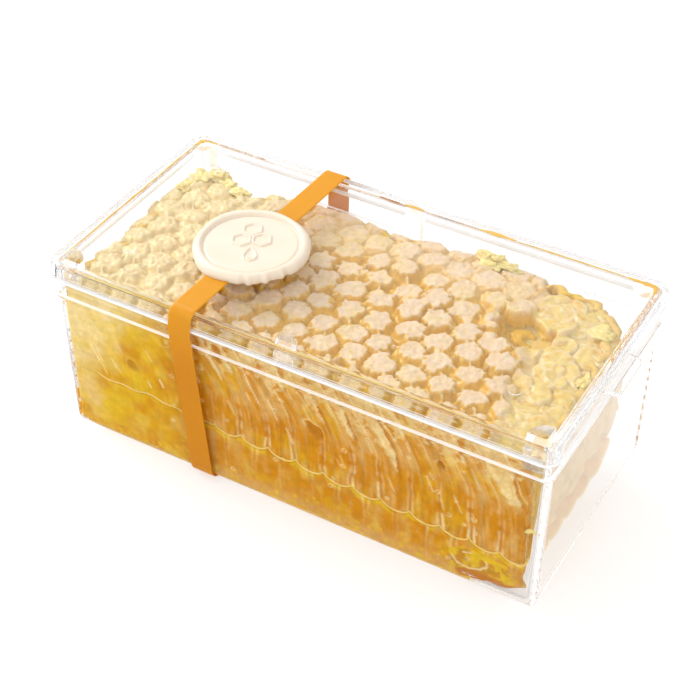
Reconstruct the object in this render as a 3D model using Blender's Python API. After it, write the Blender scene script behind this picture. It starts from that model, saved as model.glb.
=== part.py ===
"""Clear retail pack of cut honeycomb: a tray and a lift-off lid, the comb on its pooled honey,
and a ribbon under a wax seal."""

import math
import random

import bpy
import bmesh
from mathutils import Vector

for item in list(bpy.data.objects):
    bpy.data.objects.remove(item, do_unlink=True)

MM = 0.001
GAP = 0.3 * MM                      # between pieces that touch

# The box, measured over the lid. Offsets run inwards from the lid's outer face.
BOX_LENGTH = 111.0 * MM
BOX_WIDTH = 55.5 * MM
BOX_HEIGHT = 44.3 * MM
CORNER_RADIUS = 3.0 * MM            # plan radius of the lid's corners
INNER_RADIUS = 0.6 * MM             # least plan radius, inside the walls
CORNER_STEPS = 5

# Lid: a plate with a skirt that slips over the tray's rim.
LID_PLATE = 1.5 * MM
LID_EDGE_RADIUS = 1.6 * MM
SKIRT_DEPTH = 4.9 * MM
SKIRT_WALL = 1.2 * MM
SKIRT_LIP = 0.25 * MM               # rounding of the skirt's lower edge
RIB_WIDTH = 4.4 * MM                # ribs that steady the lid inside the tray
RIB_DEPTH = 1.9 * MM
CORNER_POST = 3.8 * MM              # radius of the quarter-round posts in the corners
RIB_BOTTOM = 35.0 * MM
RIB_FOOTING = 0.5 * MM              # how far a fitting sinks into the plate it is moulded on
RIB_CLEARANCE = 0.35 * MM           # between a rib and the comb that it presses aside
TAB_WIDTH = 12.0 * MM               # thumb tab on the right end
TAB_REACH = 2.8 * MM
TAB_THICKNESS = 1.0 * MM
TAB_CORNER = 1.6 * MM
TAB_TOP = 42.0 * MM
PIN_RADIUS = 1.25 * MM              # raised marks that the moulding pins leave
PIN_HEIGHT = 0.2 * MM
PIN_X = 42.5 * MM
PIN_Y = 16.7 * MM

# Tray: thin wall, a small step that the skirt sits above, a rounded foot.
TRAY_TOP = BOX_HEIGHT - LID_PLATE - GAP
TRAY_RIM_OUTER = SKIRT_WALL + GAP   # offset of the rim's outer face
TRAY_WALL = 1.2 * MM
TRAY_INNER = TRAY_RIM_OUTER + TRAY_WALL
TRAY_STEP_OFFSET = 1.0 * MM         # offset of the outer face just under the step
TRAY_STEP_Z = 35.5 * MM
TRAY_BEAD = 0.25 * MM               # the step's rounded edge stands out by this much
TRAY_DRAFT = 0.5 * MM
TRAY_FOOT_RADIUS = 3.0 * MM
TRAY_FLOOR = 1.0 * MM
TRAY_FLOOR_FILLET = 2.0 * MM

# Ribbon: one closed band round the box.
RIBBON_WIDTH = 5.1 * MM
RIBBON_THICKNESS = 0.25 * MM
RIBBON_X_BACK = -20.0 * MM          # its middle at the back, along the box
RIBBON_X_FRONT_TOP = -22.0 * MM
RIBBON_X_FRONT_EDGE = -22.5 * MM
RIBBON_X_FRONT_SKIRT = -23.0 * MM
RIBBON_X_FRONT_FOOT = -21.3 * MM
RIBBON_X_BACK_FOOT = -20.3 * MM

# Seal: a poured and stamped wax disc over the ribbon.
SEAL_CENTRE = (-21.2 * MM, -4.8 * MM)
SEAL_RADIUS = 12.1 * MM
SEAL_DIE_RADIUS = 9.9 * MM
SEAL_THICKNESS = 2.0 * MM
SEAL_DIE_DEPTH = 0.6 * MM
SEAL_UNEVEN = 0.22 * MM             # waves of the outline
SEAL_STEPS = 44

# Comb: two layers of cells back to back on one wax midrib, capped on top.
CELL = 6.4 * MM                     # across the flats, and the pitch along a row
ROW = CELL * math.sqrt(3) / 2       # between rows
FIRST_CELL = (-0.6 * MM, -22.65 * MM)    # axis of the middle cell in the front row
COMB_FRONT = -24.2 * MM             # cut face that leans on the tray's front wall
COMB_TOP = 38.4 * MM                # between the cappings
CAP_TOP = 39.5 * MM
CAP_UNEVEN = 0.4 * MM
CAP_SINK = 1.0 * MM                 # a cap's foot below the comb's top
CAP_SLOPE = 2.2 * MM                # a cap is this much narrower at its crown
CAP_INSET = 0.2 * MM                # of the cappings from the comb's cut edges
COMB_BOTTOM = TRAY_FLOOR + GAP
COMB_EDGE_LIFT = 2.0 * MM           # the comb's lower edge rises off the floor
COMB_EDGE_INSET = 3.0 * MM
COMB_END_X = 40.0 * MM              # beyond this the outline belongs to an end
COMB_SIDE_Y = 12.0 * MM             # beyond this it belongs to the front or the back
MIDRIB = 0.8 * MM
MIDRIB_GAP = 0.4 * MM
MIDRIB_LEFT_Z = 17.0 * MM
MIDRIB_RIGHT_Z = 11.0 * MM
SCALLOP_START = -18.2 * MM          # left of this the midrib runs smooth
SCALLOP_RISE = 2.2 * MM
SCALLOP_SAG = 0.8 * MM
SCALLOP_STEPS = 8
MIDRIB_WAVE = 0.3 * MM
MIDRIB_STRIDE = 3.0 * MM
CELL_CUT_DEPTH = 0.8 * MM           # how far the cut opens the cells on the front face
CELL_CUT_WIDTH = 5.1 * MM
CELL_LEAN_START = 25.0 * MM         # above this the cells lean to the left
CELL_LEAN_SLOPE = math.tan(math.radians(30))
CELL_CUT_TOP = 37.2 * MM
HOLLOW_CENTRE = (34.0 * MM, 5.3 * MM, 40.0 * MM)    # where a few cells are torn open
HOLLOW_REACH = (6.0 * MM, 5.0 * MM, 3.4 * MM)
POOL_HEIGHT = 1.7 * MM              # honey that has drained to the left of the floor
POOL_CENTRE = (-39.0 * MM, -12.0 * MM)
POOL_REACH = 11.5 * MM

PACK_LIFT = RIBBON_THICKNESS + GAP  # the ribbon passes under the tray


pack = bpy.data.objects.new("pack", None)
bpy.context.collection.objects.link(pack)
pack.location = (-TAB_REACH / 2, 0.0, PACK_LIFT)


def make_material(name, colour, roughness, alpha=1.0, metallic=0.0):
    material = bpy.data.materials.new(name)
    material.use_nodes = True
    shader = material.node_tree.nodes["Principled BSDF"]
    shader.inputs["Base Color"].default_value = (*colour, 1.0)
    shader.inputs["Roughness"].default_value = roughness
    shader.inputs["Metallic"].default_value = metallic
    shader.inputs["Alpha"].default_value = alpha
    return material


def add_piece(name, bm, material=None):
    """Makes an object of the mesh, on the pack's empty. A piece without a material is a guide or a cutter."""
    bmesh.ops.recalc_face_normals(bm, faces=bm.faces)
    mesh = bpy.data.meshes.new(name)
    bm.to_mesh(mesh)
    bm.free()
    piece = bpy.data.objects.new(name, mesh)
    bpy.context.collection.objects.link(piece)
    piece.parent = pack
    if material:
        mesh.materials.append(material)
    else:
        piece.hide_render = True
        piece.display_type = "WIRE"
    return piece


def combine(piece, operation, other):
    modifier = piece.modifiers.new(f"{operation} {other.name}", "BOOLEAN")
    modifier.operation = operation
    modifier.solver = "EXACT"
    modifier.object = other


def shade_round(piece, angle=35.0):
    piece.data.shade_smooth()
    piece.data.set_sharp_from_angle(angle=math.radians(angle))


def arc(centre, radius, start, end, steps):
    """Points of an arc in a plane, angles in degrees, both ends included."""
    points = []
    for i in range(steps + 1):
        angle = math.radians(start + (end - start) * i / steps)
        points.append((centre[0] + radius * math.cos(angle), centre[1] + radius * math.sin(angle)))
    return points


def box_loop(offset):
    """The box's plan outline, the given distance inside the lid's outer face."""
    half_x = BOX_LENGTH / 2 - offset
    half_y = BOX_WIDTH / 2 - offset
    radius = max(CORNER_RADIUS - offset, INNER_RADIUS)
    loop = []
    for quarter, (side_x, side_y) in enumerate([(1, 1), (-1, 1), (-1, -1), (1, -1)]):
        centre = (side_x * (half_x - radius), side_y * (half_y - radius))
        loop += arc(centre, radius, 90 * quarter, 90 * quarter + 90, CORNER_STEPS)
    return loop


def add_loops(bm, loops):
    """Skins closed outlines, each a list of points, one after the other, and caps the first and the last."""
    rings = [[bm.verts.new(point) for point in loop] for loop in loops]
    for lower, upper in zip(rings, rings[1:]):
        count = len(lower)
        for i in range(count):
            j = (i + 1) % count
            bm.faces.new((lower[i], lower[j], upper[j], upper[i]))
    bm.faces.new(list(reversed(rings[0])))
    bm.faces.new(rings[-1])


def add_prism(bm, outline, low, high, axis="Z"):
    """A straight prism of a plane outline. Along Z the outline is (x, y), along Y it is (x, z)."""
    def place(point, level):
        if axis == "Z":
            return (point[0], point[1], level)
        return (point[0], level, point[1])

    add_loops(bm, [[place(point, level) for point in outline] for level in (low, high)])


def box_shell(profile):
    """A box-shaped shell from its wall's profile, a list of (offset, z)."""
    bm = bmesh.new()
    add_loops(bm, [[(x, y, z) for x, y in box_loop(offset)] for offset, z in profile])
    return bm


# Tray -----------------------------------------------------------------------------------------------

def tray_profile():
    """From the underside out over the foot, up the wall and its step, over the rim and down to the floor."""
    foot_offset = TRAY_STEP_OFFSET + TRAY_DRAFT
    foot_centre = (foot_offset + TRAY_FOOT_RADIUS, TRAY_FOOT_RADIUS)
    floor_offset = TRAY_INNER + TRAY_DRAFT
    floor_centre = (floor_offset + TRAY_FLOOR_FILLET, TRAY_FLOOR + TRAY_FLOOR_FILLET)
    rim_round = 0.3 * MM
    profile = arc(foot_centre, TRAY_FOOT_RADIUS, 270, 180, 5)
    profile += [
        (TRAY_STEP_OFFSET, TRAY_STEP_Z - 4 * TRAY_BEAD),
        (TRAY_STEP_OFFSET - TRAY_BEAD, TRAY_STEP_Z - 3 * TRAY_BEAD),
        (TRAY_STEP_OFFSET - TRAY_BEAD, TRAY_STEP_Z - TRAY_BEAD),
        (TRAY_STEP_OFFSET, TRAY_STEP_Z),
        (TRAY_RIM_OUTER, TRAY_STEP_Z),
        (TRAY_RIM_OUTER, TRAY_TOP - rim_round),
        (TRAY_RIM_OUTER + rim_round, TRAY_TOP),
        (TRAY_INNER - rim_round, TRAY_TOP),
        (TRAY_INNER, TRAY_TOP - rim_round),
    ]
    profile += arc(floor_centre, TRAY_FLOOR_FILLET, 180, 270, 4)
    return profile


clear_plastic = make_material("clear_plastic", (0.95, 0.96, 0.97), 0.05, alpha=0.3)
tray = add_piece("tray", box_shell(tray_profile()), clear_plastic)
shade_round(tray)


# Lid ------------------------------------------------------------------------------------------------

def lid_profile():
    """From the top plate out over the rounded edge, down the skirt, under its lip and back to the plate."""
    skirt_bottom = BOX_HEIGHT - SKIRT_DEPTH
    plate_bottom = BOX_HEIGHT - LID_PLATE
    edge_centre = (LID_EDGE_RADIUS, BOX_HEIGHT - LID_EDGE_RADIUS)
    profile = arc(edge_centre, LID_EDGE_RADIUS, 90, 180, 5)
    profile += [
        (0.0, skirt_bottom + SKIRT_LIP),
        (SKIRT_LIP, skirt_bottom),
        (SKIRT_WALL - SKIRT_LIP, skirt_bottom),
        (SKIRT_WALL, skirt_bottom + SKIRT_LIP),
        (SKIRT_WALL, plate_bottom - GAP),
        (SKIRT_WALL + GAP, plate_bottom),
    ]
    return profile


def middle_rib(side, grow):
    """Half-round rib in the middle of the front (side -1) or the back (side 1), grown for its cutter."""
    wall = side * (BOX_WIDTH / 2 - TRAY_INNER - GAP)
    points = arc((0.0, 0.0), 1.0, 0, 180, 8)
    half = RIB_WIDTH / 2 + grow
    depth = RIB_DEPTH + grow
    outline = [(half * x, wall - side * depth * y) for x, y in points]
    if grow:
        outline += [(-half, wall + side * 2 * MM), (half, wall + side * 2 * MM)]
    return outline


def corner_post(side_x, side_y, grow):
    """Quarter-round post in a corner of the tray's inside, grown for its cutter."""
    corner_x = BOX_LENGTH / 2 - TRAY_INNER - GAP
    corner_y = BOX_WIDTH / 2 - TRAY_INNER - GAP
    radius = CORNER_POST + grow
    outline = arc((0.0, 0.0), radius, 180, 270, 8)
    if grow:
        beyond = TRAY_WALL
        outline += [(beyond, -radius), (beyond, beyond), (-radius, beyond)]
    else:
        outline += arc((-INNER_RADIUS, -INNER_RADIUS), INNER_RADIUS, 0, 90, 3)
    return [(side_x * (corner_x + x), side_y * (corner_y + y)) for x, y in outline]


def rib_outlines(grow=0.0):
    outlines = [middle_rib(side, grow) for side in (-1, 1)]
    outlines += [corner_post(side_x, side_y, grow) for side_x in (-1, 1) for side_y in (-1, 1)]
    return outlines


def lid_fittings():
    """What stands on the lid's shell: ribs below the plate, the thumb tab and the pin marks."""
    bm = bmesh.new()
    for outline in rib_outlines():
        add_prism(bm, outline, RIB_BOTTOM, BOX_HEIGHT - LID_PLATE + RIB_FOOTING)

    root_x = BOX_LENGTH / 2 - SKIRT_WALL / 2
    tip_x = BOX_LENGTH / 2 + TAB_REACH
    half = TAB_WIDTH / 2
    round_x = tip_x - TAB_CORNER
    round_y = half - TAB_CORNER
    tab = [(root_x, -half)]
    tab += arc((round_x, -round_y), TAB_CORNER, -90, 0, 4)
    tab += arc((round_x, round_y), TAB_CORNER, 0, 90, 4)
    tab += [(root_x, half)]
    add_prism(bm, tab, TAB_TOP - TAB_THICKNESS, TAB_TOP)

    for x in (-PIN_X, PIN_X):
        for y in (-PIN_Y, PIN_Y):
            pin = arc((x, y), PIN_RADIUS, 0, 337.5, 15)
            add_prism(bm, pin, BOX_HEIGHT - RIB_FOOTING, BOX_HEIGHT + PIN_HEIGHT)
    return bm


lid = add_piece("lid", box_shell(lid_profile()), clear_plastic)
combine(lid, "UNION", add_piece("lid_fittings", lid_fittings()))
shade_round(lid)


# Ribbon ---------------------------------------------------------------------------------------------

def ribbon_path():
    """The band's inner side, clockwise from the back of the lid: x of its middle, y, z, outward angle."""
    edge_y = BOX_WIDTH / 2 - LID_EDGE_RADIUS
    edge_z = BOX_HEIGHT - LID_EDGE_RADIUS
    edge_radius = LID_EDGE_RADIUS + GAP
    skirt_z = BOX_HEIGHT - SKIRT_DEPTH
    foot_y = BOX_WIDTH / 2 - TRAY_STEP_OFFSET - TRAY_DRAFT - TRAY_FOOT_RADIUS
    foot_radius = TRAY_FOOT_RADIUS + GAP
    side_y = BOX_WIDTH / 2 + GAP
    lean = math.degrees(math.atan2(side_y - foot_y - foot_radius, skirt_z - TRAY_FOOT_RADIUS))

    def turn(centre, radius, start, end, steps, x_start, x_end):
        stations = []
        for i, (y, z) in enumerate(arc(centre, radius, start, end, steps)):
            angle = math.radians(start + (end - start) * i / steps)
            stations.append((x_start + (x_end - x_start) * i / steps, y, z, angle))
        return stations

    front, down = 180, 270
    path = turn((edge_y, edge_z), edge_radius, 0, 90, 6, RIBBON_X_BACK, RIBBON_X_BACK)
    path += turn((-edge_y, edge_z), edge_radius, 90, front, 6,
                 RIBBON_X_FRONT_TOP, RIBBON_X_FRONT_EDGE)
    path += [(RIBBON_X_FRONT_SKIRT, -side_y, skirt_z, math.radians(front + lean / 2))]
    path += turn((-foot_y, TRAY_FOOT_RADIUS), foot_radius, front + lean, down, 6,
                 RIBBON_X_FRONT_FOOT, RIBBON_X_FRONT_FOOT)
    path += turn((foot_y, TRAY_FOOT_RADIUS), foot_radius, down, 360 - lean, 6,
                 RIBBON_X_BACK_FOOT, RIBBON_X_BACK_FOOT)
    path += [(RIBBON_X_BACK, side_y, skirt_z, math.radians(-lean / 2))]
    return path


def ribbon_band():
    bm = bmesh.new()
    rings = []
    for x, y, z, angle in ribbon_path():
        out_y = y + RIBBON_THICKNESS * math.cos(angle)
        out_z = z + RIBBON_THICKNESS * math.sin(angle)
        left = x - RIBBON_WIDTH / 2
        right = x + RIBBON_WIDTH / 2
        corners = [(left, y, z), (right, y, z), (right, out_y, out_z), (left, out_y, out_z)]
        rings.append([bm.verts.new(corner) for corner in corners])
    for here, after in zip(rings, rings[1:] + rings[:1]):
        for i in range(4):
            j = (i + 1) % 4
            bm.faces.new((here[i], here[j], after[j], after[i]))
    return bm


amber_satin = make_material("amber_satin", (0.78, 0.42, 0.09), 0.45)
ribbon = add_piece("ribbon", ribbon_band(), amber_satin)


# Seal -----------------------------------------------------------------------------------------------

def seal_disc():
    """The disc, its outline a little uneven where the wax ran out past the die."""
    z = BOX_HEIGHT + GAP
    top = z + SEAL_THICKNESS
    rim = SEAL_RADIUS
    die = SEAL_DIE_RADIUS
    profile = [
        (rim - 0.5 * MM, z, 1.0),
        (rim, z + 0.5 * MM, 1.0),
        (rim - 0.1 * MM, top - 0.7 * MM, 0.9),
        (rim - 0.7 * MM, top - 0.1 * MM, 0.6),
        (rim - 1.2 * MM, top, 0.3),
        (die + 0.3 * MM, top - 0.1 * MM, 0.0),
        (die - 0.2 * MM, top - SEAL_DIE_DEPTH, 0.0),
    ]
    bm = bmesh.new()
    loops = []
    for radius, level, share in profile:
        loop = []
        for i in range(SEAL_STEPS):
            angle = 2 * math.pi * i / SEAL_STEPS
            uneven = SEAL_UNEVEN * (math.sin(3 * angle + 0.7) + 0.6 * math.sin(7 * angle + 2.0))
            reach = radius + share * uneven
            x = SEAL_CENTRE[0] + reach * math.cos(angle)
            y = SEAL_CENTRE[1] + reach * math.sin(angle)
            loop.append((x, y, level))
        loops.append(loop)
    add_loops(bm, loops)
    return bm


def ribbon_channel():
    """Room for the ribbon under the seal."""
    bm = bmesh.new()
    half = RIBBON_WIDTH / 2 + GAP
    edge_y = BOX_WIDTH / 2 - LID_EDGE_RADIUS
    outline = [
        (RIBBON_X_FRONT_TOP - half, -edge_y),
        (RIBBON_X_FRONT_TOP + half, -edge_y),
        (RIBBON_X_BACK + half, edge_y),
        (RIBBON_X_BACK - half, edge_y),
    ]
    add_prism(bm, outline, BOX_HEIGHT, BOX_HEIGHT + RIBBON_THICKNESS + 2 * GAP)
    return bm


ivory_wax = make_material("ivory_wax", (0.86, 0.78, 0.62), 0.35)
seal = add_piece("seal", seal_disc(), ivory_wax)
combine(seal, "DIFFERENCE", add_piece("ribbon_channel", ribbon_channel()))
shade_round(seal)


# Honeycomb ------------------------------------------------------------------------------------------

# Plan outline of the cut piece, anticlockwise from the front left, in millimetres. The front is a clean
# knife cut; the back right corner is missing and the back edge has a torn bay.
COMB_OUTLINE = [
    (-52.0, -24.2), (50.2, -24.2), (51.4, -22.4), (51.4, -10.0), (51.2, 6.0), (49.8, 13.6),
    (44.0, 20.0), (38.0, 22.4), (24.0, 22.6), (12.0, 22.8), (-3.0, 21.2), (-16.0, 22.0),
    (-29.0, 21.4), (-33.0, 20.0), (-35.0, 17.4), (-41.0, 18.4), (-46.5, 21.4), (-51.0, 19.4),
    (-51.8, 8.0), (-51.4, -4.0), (-52.0, -14.0), (-52.0, -22.6),
]


def comb_loop(inset, level):
    """The comb's outline at a level, drawn in towards its middle by about the inset."""
    loop = []
    for x, y in COMB_OUTLINE:
        point = Vector((x * MM, y * MM))
        inward = Vector((-math.copysign(inset, point.x), -math.copysign(inset, point.y)))
        if abs(point.x) < COMB_END_X:
            inward.x = 0.0
        if abs(point.y) < COMB_SIDE_Y:
            inward.y = 0.0
        point += inward
        loop.append((point.x, point.y, level))
    return loop


def midrib_level(x):
    """Height of the midrib's middle: smooth at the left, then a round cell bottom for every cell."""
    left = -BOX_LENGTH / 2
    level = MIDRIB_LEFT_Z + (MIDRIB_RIGHT_Z - MIDRIB_LEFT_Z) * (x - left) / BOX_LENGTH
    if x < SCALLOP_START:
        return level + MIDRIB_WAVE * math.sin(x / MIDRIB_STRIDE)
    across = ((x - SCALLOP_START) / CELL) % 1.0 * 2 - 1
    return level - SCALLOP_SAG + SCALLOP_RISE * (1 - math.sqrt(1 - (0.93 * across) ** 2))


def midrib_line(shift):
    """The midrib's line in (x, z) from left to right, shifted up or down."""
    stations = []
    x = -BOX_LENGTH / 2 - 1 * MM
    while x < SCALLOP_START - 1 * MM:
        stations.append(x)
        x += MIDRIB_STRIDE
    for cell in range(12):
        for step in range(SCALLOP_STEPS):
            stations.append(SCALLOP_START + CELL * (cell + (step + 0.001) / SCALLOP_STEPS))
    return [(x, midrib_level(x) + shift) for x in stations]


def space_beside_midrib(side, shift):
    """Everything above (side 1) or below (side -1) the midrib's shifted line, across the whole comb."""
    line = midrib_line(shift)
    far = BOX_HEIGHT + 10 * MM if side > 0 else -10 * MM
    outline = line + [(line[-1][0], far), (line[0][0], far)]
    bm = bmesh.new()
    add_prism(bm, outline, -BOX_WIDTH, BOX_WIDTH, axis="Y")
    return bm


def midrib_band():
    bm = bmesh.new()
    outline = midrib_line(MIDRIB / 2) + list(reversed(midrib_line(-MIDRIB / 2)))
    add_prism(bm, outline, -BOX_WIDTH, BOX_WIDTH, axis="Y")
    return bm


def comb_block(levels):
    bm = bmesh.new()
    add_loops(bm, [comb_loop(inset, level) for inset, level in levels])
    return bm


def hexagon(centre, across_flats):
    radius = across_flats / math.sqrt(3)
    return arc(centre, radius, 30, 330, 5)


def cell_centres():
    """Cell axes on the comb's top face, row by row from the front."""
    for row in range(9):
        y = FIRST_CELL[1] + row * ROW
        shift = CELL / 2 * (row % 2)
        for column in range(-9, 10):
            yield (FIRST_CELL[0] + column * CELL + shift, y)


def cappings():
    """One low domed cap of wax over every cell, each a little different in height and width."""
    dice = random.Random(7)
    bm = bmesh.new()
    for centre in cell_centres():
        top = CAP_TOP + CAP_UNEVEN * dice.uniform(-1, 1)
        width = CELL - dice.uniform(0.1, 0.4) * MM
        foot = [(x, y, COMB_TOP - CAP_SINK) for x, y in hexagon(centre, width)]
        crown = [(x, y, top) for x, y in hexagon(centre, width - CAP_SLOPE)]
        add_loops(bm, [foot, crown])
    return bm


def opened_upper_cells():
    """The cells that the knife opened on the front face, from their round bottoms to under the cappings."""
    bm = bmesh.new()
    half = CELL_CUT_WIDTH / 2
    for cell in range(-4, 10):
        middle = SCALLOP_START + CELL * (cell + 0.5)
        bottom = midrib_level(middle) + MIDRIB / 2 + MIDRIB_GAP + 0.5 * MM
        lean = (CELL_CUT_TOP - CELL_LEAN_START) * CELL_LEAN_SLOPE
        outline = arc((middle, bottom + half), half, 180, 360, 8)
        outline += [
            (middle + half, CELL_LEAN_START),
            (middle + half - lean, CELL_CUT_TOP),
            (middle - half - lean, CELL_CUT_TOP),
            (middle - half, CELL_LEAN_START),
        ]
        if middle - half - lean > -50 * MM:
            add_prism(bm, outline, COMB_FRONT - 2 * MM, COMB_FRONT + CELL_CUT_DEPTH, axis="Y")
    return bm


def opened_lower_cells():
    """The opened cells of the lower layer, half a cell out of step with the upper ones."""
    bm = bmesh.new()
    half = CELL_CUT_WIDTH / 2
    for cell in range(-4, 10):
        middle = SCALLOP_START + CELL * cell
        top = midrib_level(middle + CELL / 2) - MIDRIB / 2 - MIDRIB_GAP - 0.8 * MM
        low = COMB_BOTTOM + COMB_EDGE_LIFT + 1.5 * MM
        outline = [
            (middle - half, low),
            (middle + half, low),
            (middle + half, top - 0.8 * MM),
            (middle + half - 1.5 * MM, top),
            (middle - half + 1.5 * MM, top),
            (middle - half, top - 0.8 * MM),
        ]
        add_prism(bm, outline, COMB_FRONT - 2 * MM, COMB_FRONT + CELL_CUT_DEPTH, axis="Y")
    return bm


def torn_hollow():
    """Where a few cells near the right end have been torn open."""
    bm = bmesh.new()
    bmesh.ops.create_icosphere(bm, subdivisions=2, radius=1.0)
    bmesh.ops.scale(bm, verts=bm.verts, vec=HOLLOW_REACH)
    bmesh.ops.translate(bm, verts=bm.verts, vec=HOLLOW_CENTRE)
    return bm


def rib_room():
    bm = bmesh.new()
    for outline in rib_outlines(grow=RIB_CLEARANCE):
        add_prism(bm, outline, RIB_BOTTOM - RIB_CLEARANCE, BOX_HEIGHT)
    return bm


def pool_outline(grow):
    """Puddle of drained honey along the left end and the front of the floor."""
    reach = POOL_REACH + grow
    outline = []
    for x, y in arc((0.0, 0.0), 1.0, 0, 345, 23):
        squared = max(abs(x), abs(y)) ** 0.8
        outline.append((POOL_CENTRE[0] + reach * x / squared, POOL_CENTRE[1] + reach * y / squared))
    return outline


def pool_slab(grow, high):
    bm = bmesh.new()
    add_prism(bm, pool_outline(grow), COMB_BOTTOM - grow, high)
    return bm


beeswax = make_material("beeswax", (0.88, 0.66, 0.36), 0.4)
pale_wax = make_material("pale_wax", (0.93, 0.80, 0.55), 0.4)
honey = make_material("honey", (0.75, 0.42, 0.05), 0.1)

pool_top = COMB_BOTTOM + POOL_HEIGHT
pool = add_piece("honey_pool", pool_slab(0.0, pool_top), honey)
pool_room = add_piece("pool_room", pool_slab(GAP, pool_top + GAP))
shade_round(pool)

comb_top_block = [(0.0, COMB_BOTTOM), (0.0, COMB_TOP)]
comb_whole = [(0.0, COMB_BOTTOM), (0.0, BOX_HEIGHT)]
cap_reach = [(CAP_INSET, COMB_BOTTOM), (CAP_INSET, BOX_HEIGHT)]
upper_comb = add_piece("upper_comb", comb_block(comb_top_block), beeswax)
caps = add_piece("cappings", cappings())
combine(caps, "INTERSECT", add_piece("cap_reach", comb_block(cap_reach)))
upper_clear = MIDRIB / 2 + MIDRIB_GAP
combine(upper_comb, "UNION", caps)
combine(upper_comb, "DIFFERENCE", add_piece("below_upper_comb", space_beside_midrib(-1, upper_clear)))
combine(upper_comb, "DIFFERENCE", add_piece("upper_cells", opened_upper_cells()))
combine(upper_comb, "DIFFERENCE", add_piece("torn_hollow", torn_hollow()))
combine(upper_comb, "DIFFERENCE", add_piece("rib_room", rib_room()))

midrib = add_piece("midrib", midrib_band(), pale_wax)
combine(midrib, "INTERSECT", add_piece("midrib_reach", comb_block(comb_whole)))

comb_lower_block = [
    (COMB_EDGE_INSET, COMB_BOTTOM),
    (0.0, COMB_BOTTOM + COMB_EDGE_LIFT),
    (0.0, MIDRIB_LEFT_Z + 4 * MM),
]
lower_comb = add_piece("lower_comb", comb_block(comb_lower_block), beeswax)
combine(lower_comb, "DIFFERENCE", add_piece("above_lower_comb", space_beside_midrib(1, -upper_clear)))
combine(lower_comb, "DIFFERENCE", add_piece("lower_cells", opened_lower_cells()))
combine(lower_comb, "DIFFERENCE", pool_room)
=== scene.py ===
"""A clear retail pack of cut honeycomb, tied with a satin ribbon and closed with a wax seal."""

import itertools
import math
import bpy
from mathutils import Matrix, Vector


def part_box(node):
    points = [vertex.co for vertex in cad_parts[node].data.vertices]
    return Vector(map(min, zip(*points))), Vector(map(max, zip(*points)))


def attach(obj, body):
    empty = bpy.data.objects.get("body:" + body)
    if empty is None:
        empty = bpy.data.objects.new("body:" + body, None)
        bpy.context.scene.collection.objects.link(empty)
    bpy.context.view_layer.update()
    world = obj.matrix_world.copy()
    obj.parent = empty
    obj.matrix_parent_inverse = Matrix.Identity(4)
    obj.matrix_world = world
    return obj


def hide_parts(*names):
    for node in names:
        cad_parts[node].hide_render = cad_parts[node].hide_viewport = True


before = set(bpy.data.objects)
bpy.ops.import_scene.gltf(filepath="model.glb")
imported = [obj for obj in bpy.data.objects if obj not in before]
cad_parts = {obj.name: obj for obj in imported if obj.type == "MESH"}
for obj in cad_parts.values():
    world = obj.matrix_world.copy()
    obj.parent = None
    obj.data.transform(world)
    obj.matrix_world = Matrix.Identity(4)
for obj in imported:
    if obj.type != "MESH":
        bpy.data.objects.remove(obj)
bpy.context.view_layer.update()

from types import SimpleNamespace

import bmesh
import bpy
import numpy as np


# The table and the light -----------------------------------------------------------------------------
# The pack stands on a white table in a white room, lit by one large soft lamp behind its left shoulder
# and a weaker one in front. Lengths are in millimetres in the pack's own frame: X along it, Z from its foot.
MM = 0.001
TABLE_HALF = 4            # metres
LIGHT_BOUNCES = 64        # enough for rays to get through the walls of tray and lid and out again
LAMP_AIM = (0, 0, 20)
CAMERA_PLACE = (124.16, -217.30, 233.85)
CAMERA_TILT = 50          # degrees
CAMERA_TURN = 30
CAMERA_LENS = 82.3
tray_low, tray_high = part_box("tray")
PACK_ORIGIN = np.array([(tray_low.x + tray_high.x) / 2, (tray_low.y + tray_high.y) / 2, tray_low.z])


def in_pack(points):
    """Points in the pack's millimetres, as metres in the frame."""
    return np.asarray(points, float) * MM + PACK_ORIGIN


def feed(tree, node, inputs):
    """Sets a shader node's inputs to values, or joins them to the outputs of other nodes."""
    for name, value in inputs.items():
        socket = node.inputs[name]
        if isinstance(value, bpy.types.NodeSocket):
            tree.links.new(value, socket)
        else:
            socket.default_value = (*value, 1) if socket.type == "RGBA" else value


def add_node(tree, kind, inputs=None, **settings):
    node = tree.nodes.new("ShaderNode" + kind)
    for name, value in settings.items():
        setattr(node, name, value)
    feed(tree, node, inputs or {})
    return node


def span(tree, value, start, end, low=0.0, high=1.0):
    """A number that goes from low to high while the value goes from start to end."""
    limits = {"Value": value, "From Min": start, "From Max": end, "To Min": low, "To Max": high}
    return add_node(tree, "MapRange", limits).outputs["Result"]


def tint(tree, below, colour, share):
    """Lays a colour over what is below, by a share."""
    return add_node(tree, "Mix", {0: share, 6: below, 7: colour}, data_type="RGBA").outputs[2]


def new_material(name):
    material = bpy.data.materials.new(name)
    material.use_nodes = True
    return material, material.node_tree, material.node_tree.nodes["Principled BSDF"]


def add_object(name, data):
    added = bpy.data.objects.new(name, data)
    bpy.context.scene.collection.objects.link(added)
    return added


table_corners = [(x * TABLE_HALF, y * TABLE_HALF, 0) for x, y in ((-1, -1), (1, -1), (1, 1), (-1, 1))]
table_mesh = bpy.data.meshes.new("table_top")
table_mesh.from_pydata(table_corners, [], [(0, 1, 2, 3)])
table_top = add_object("table_top", table_mesh)
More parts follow.
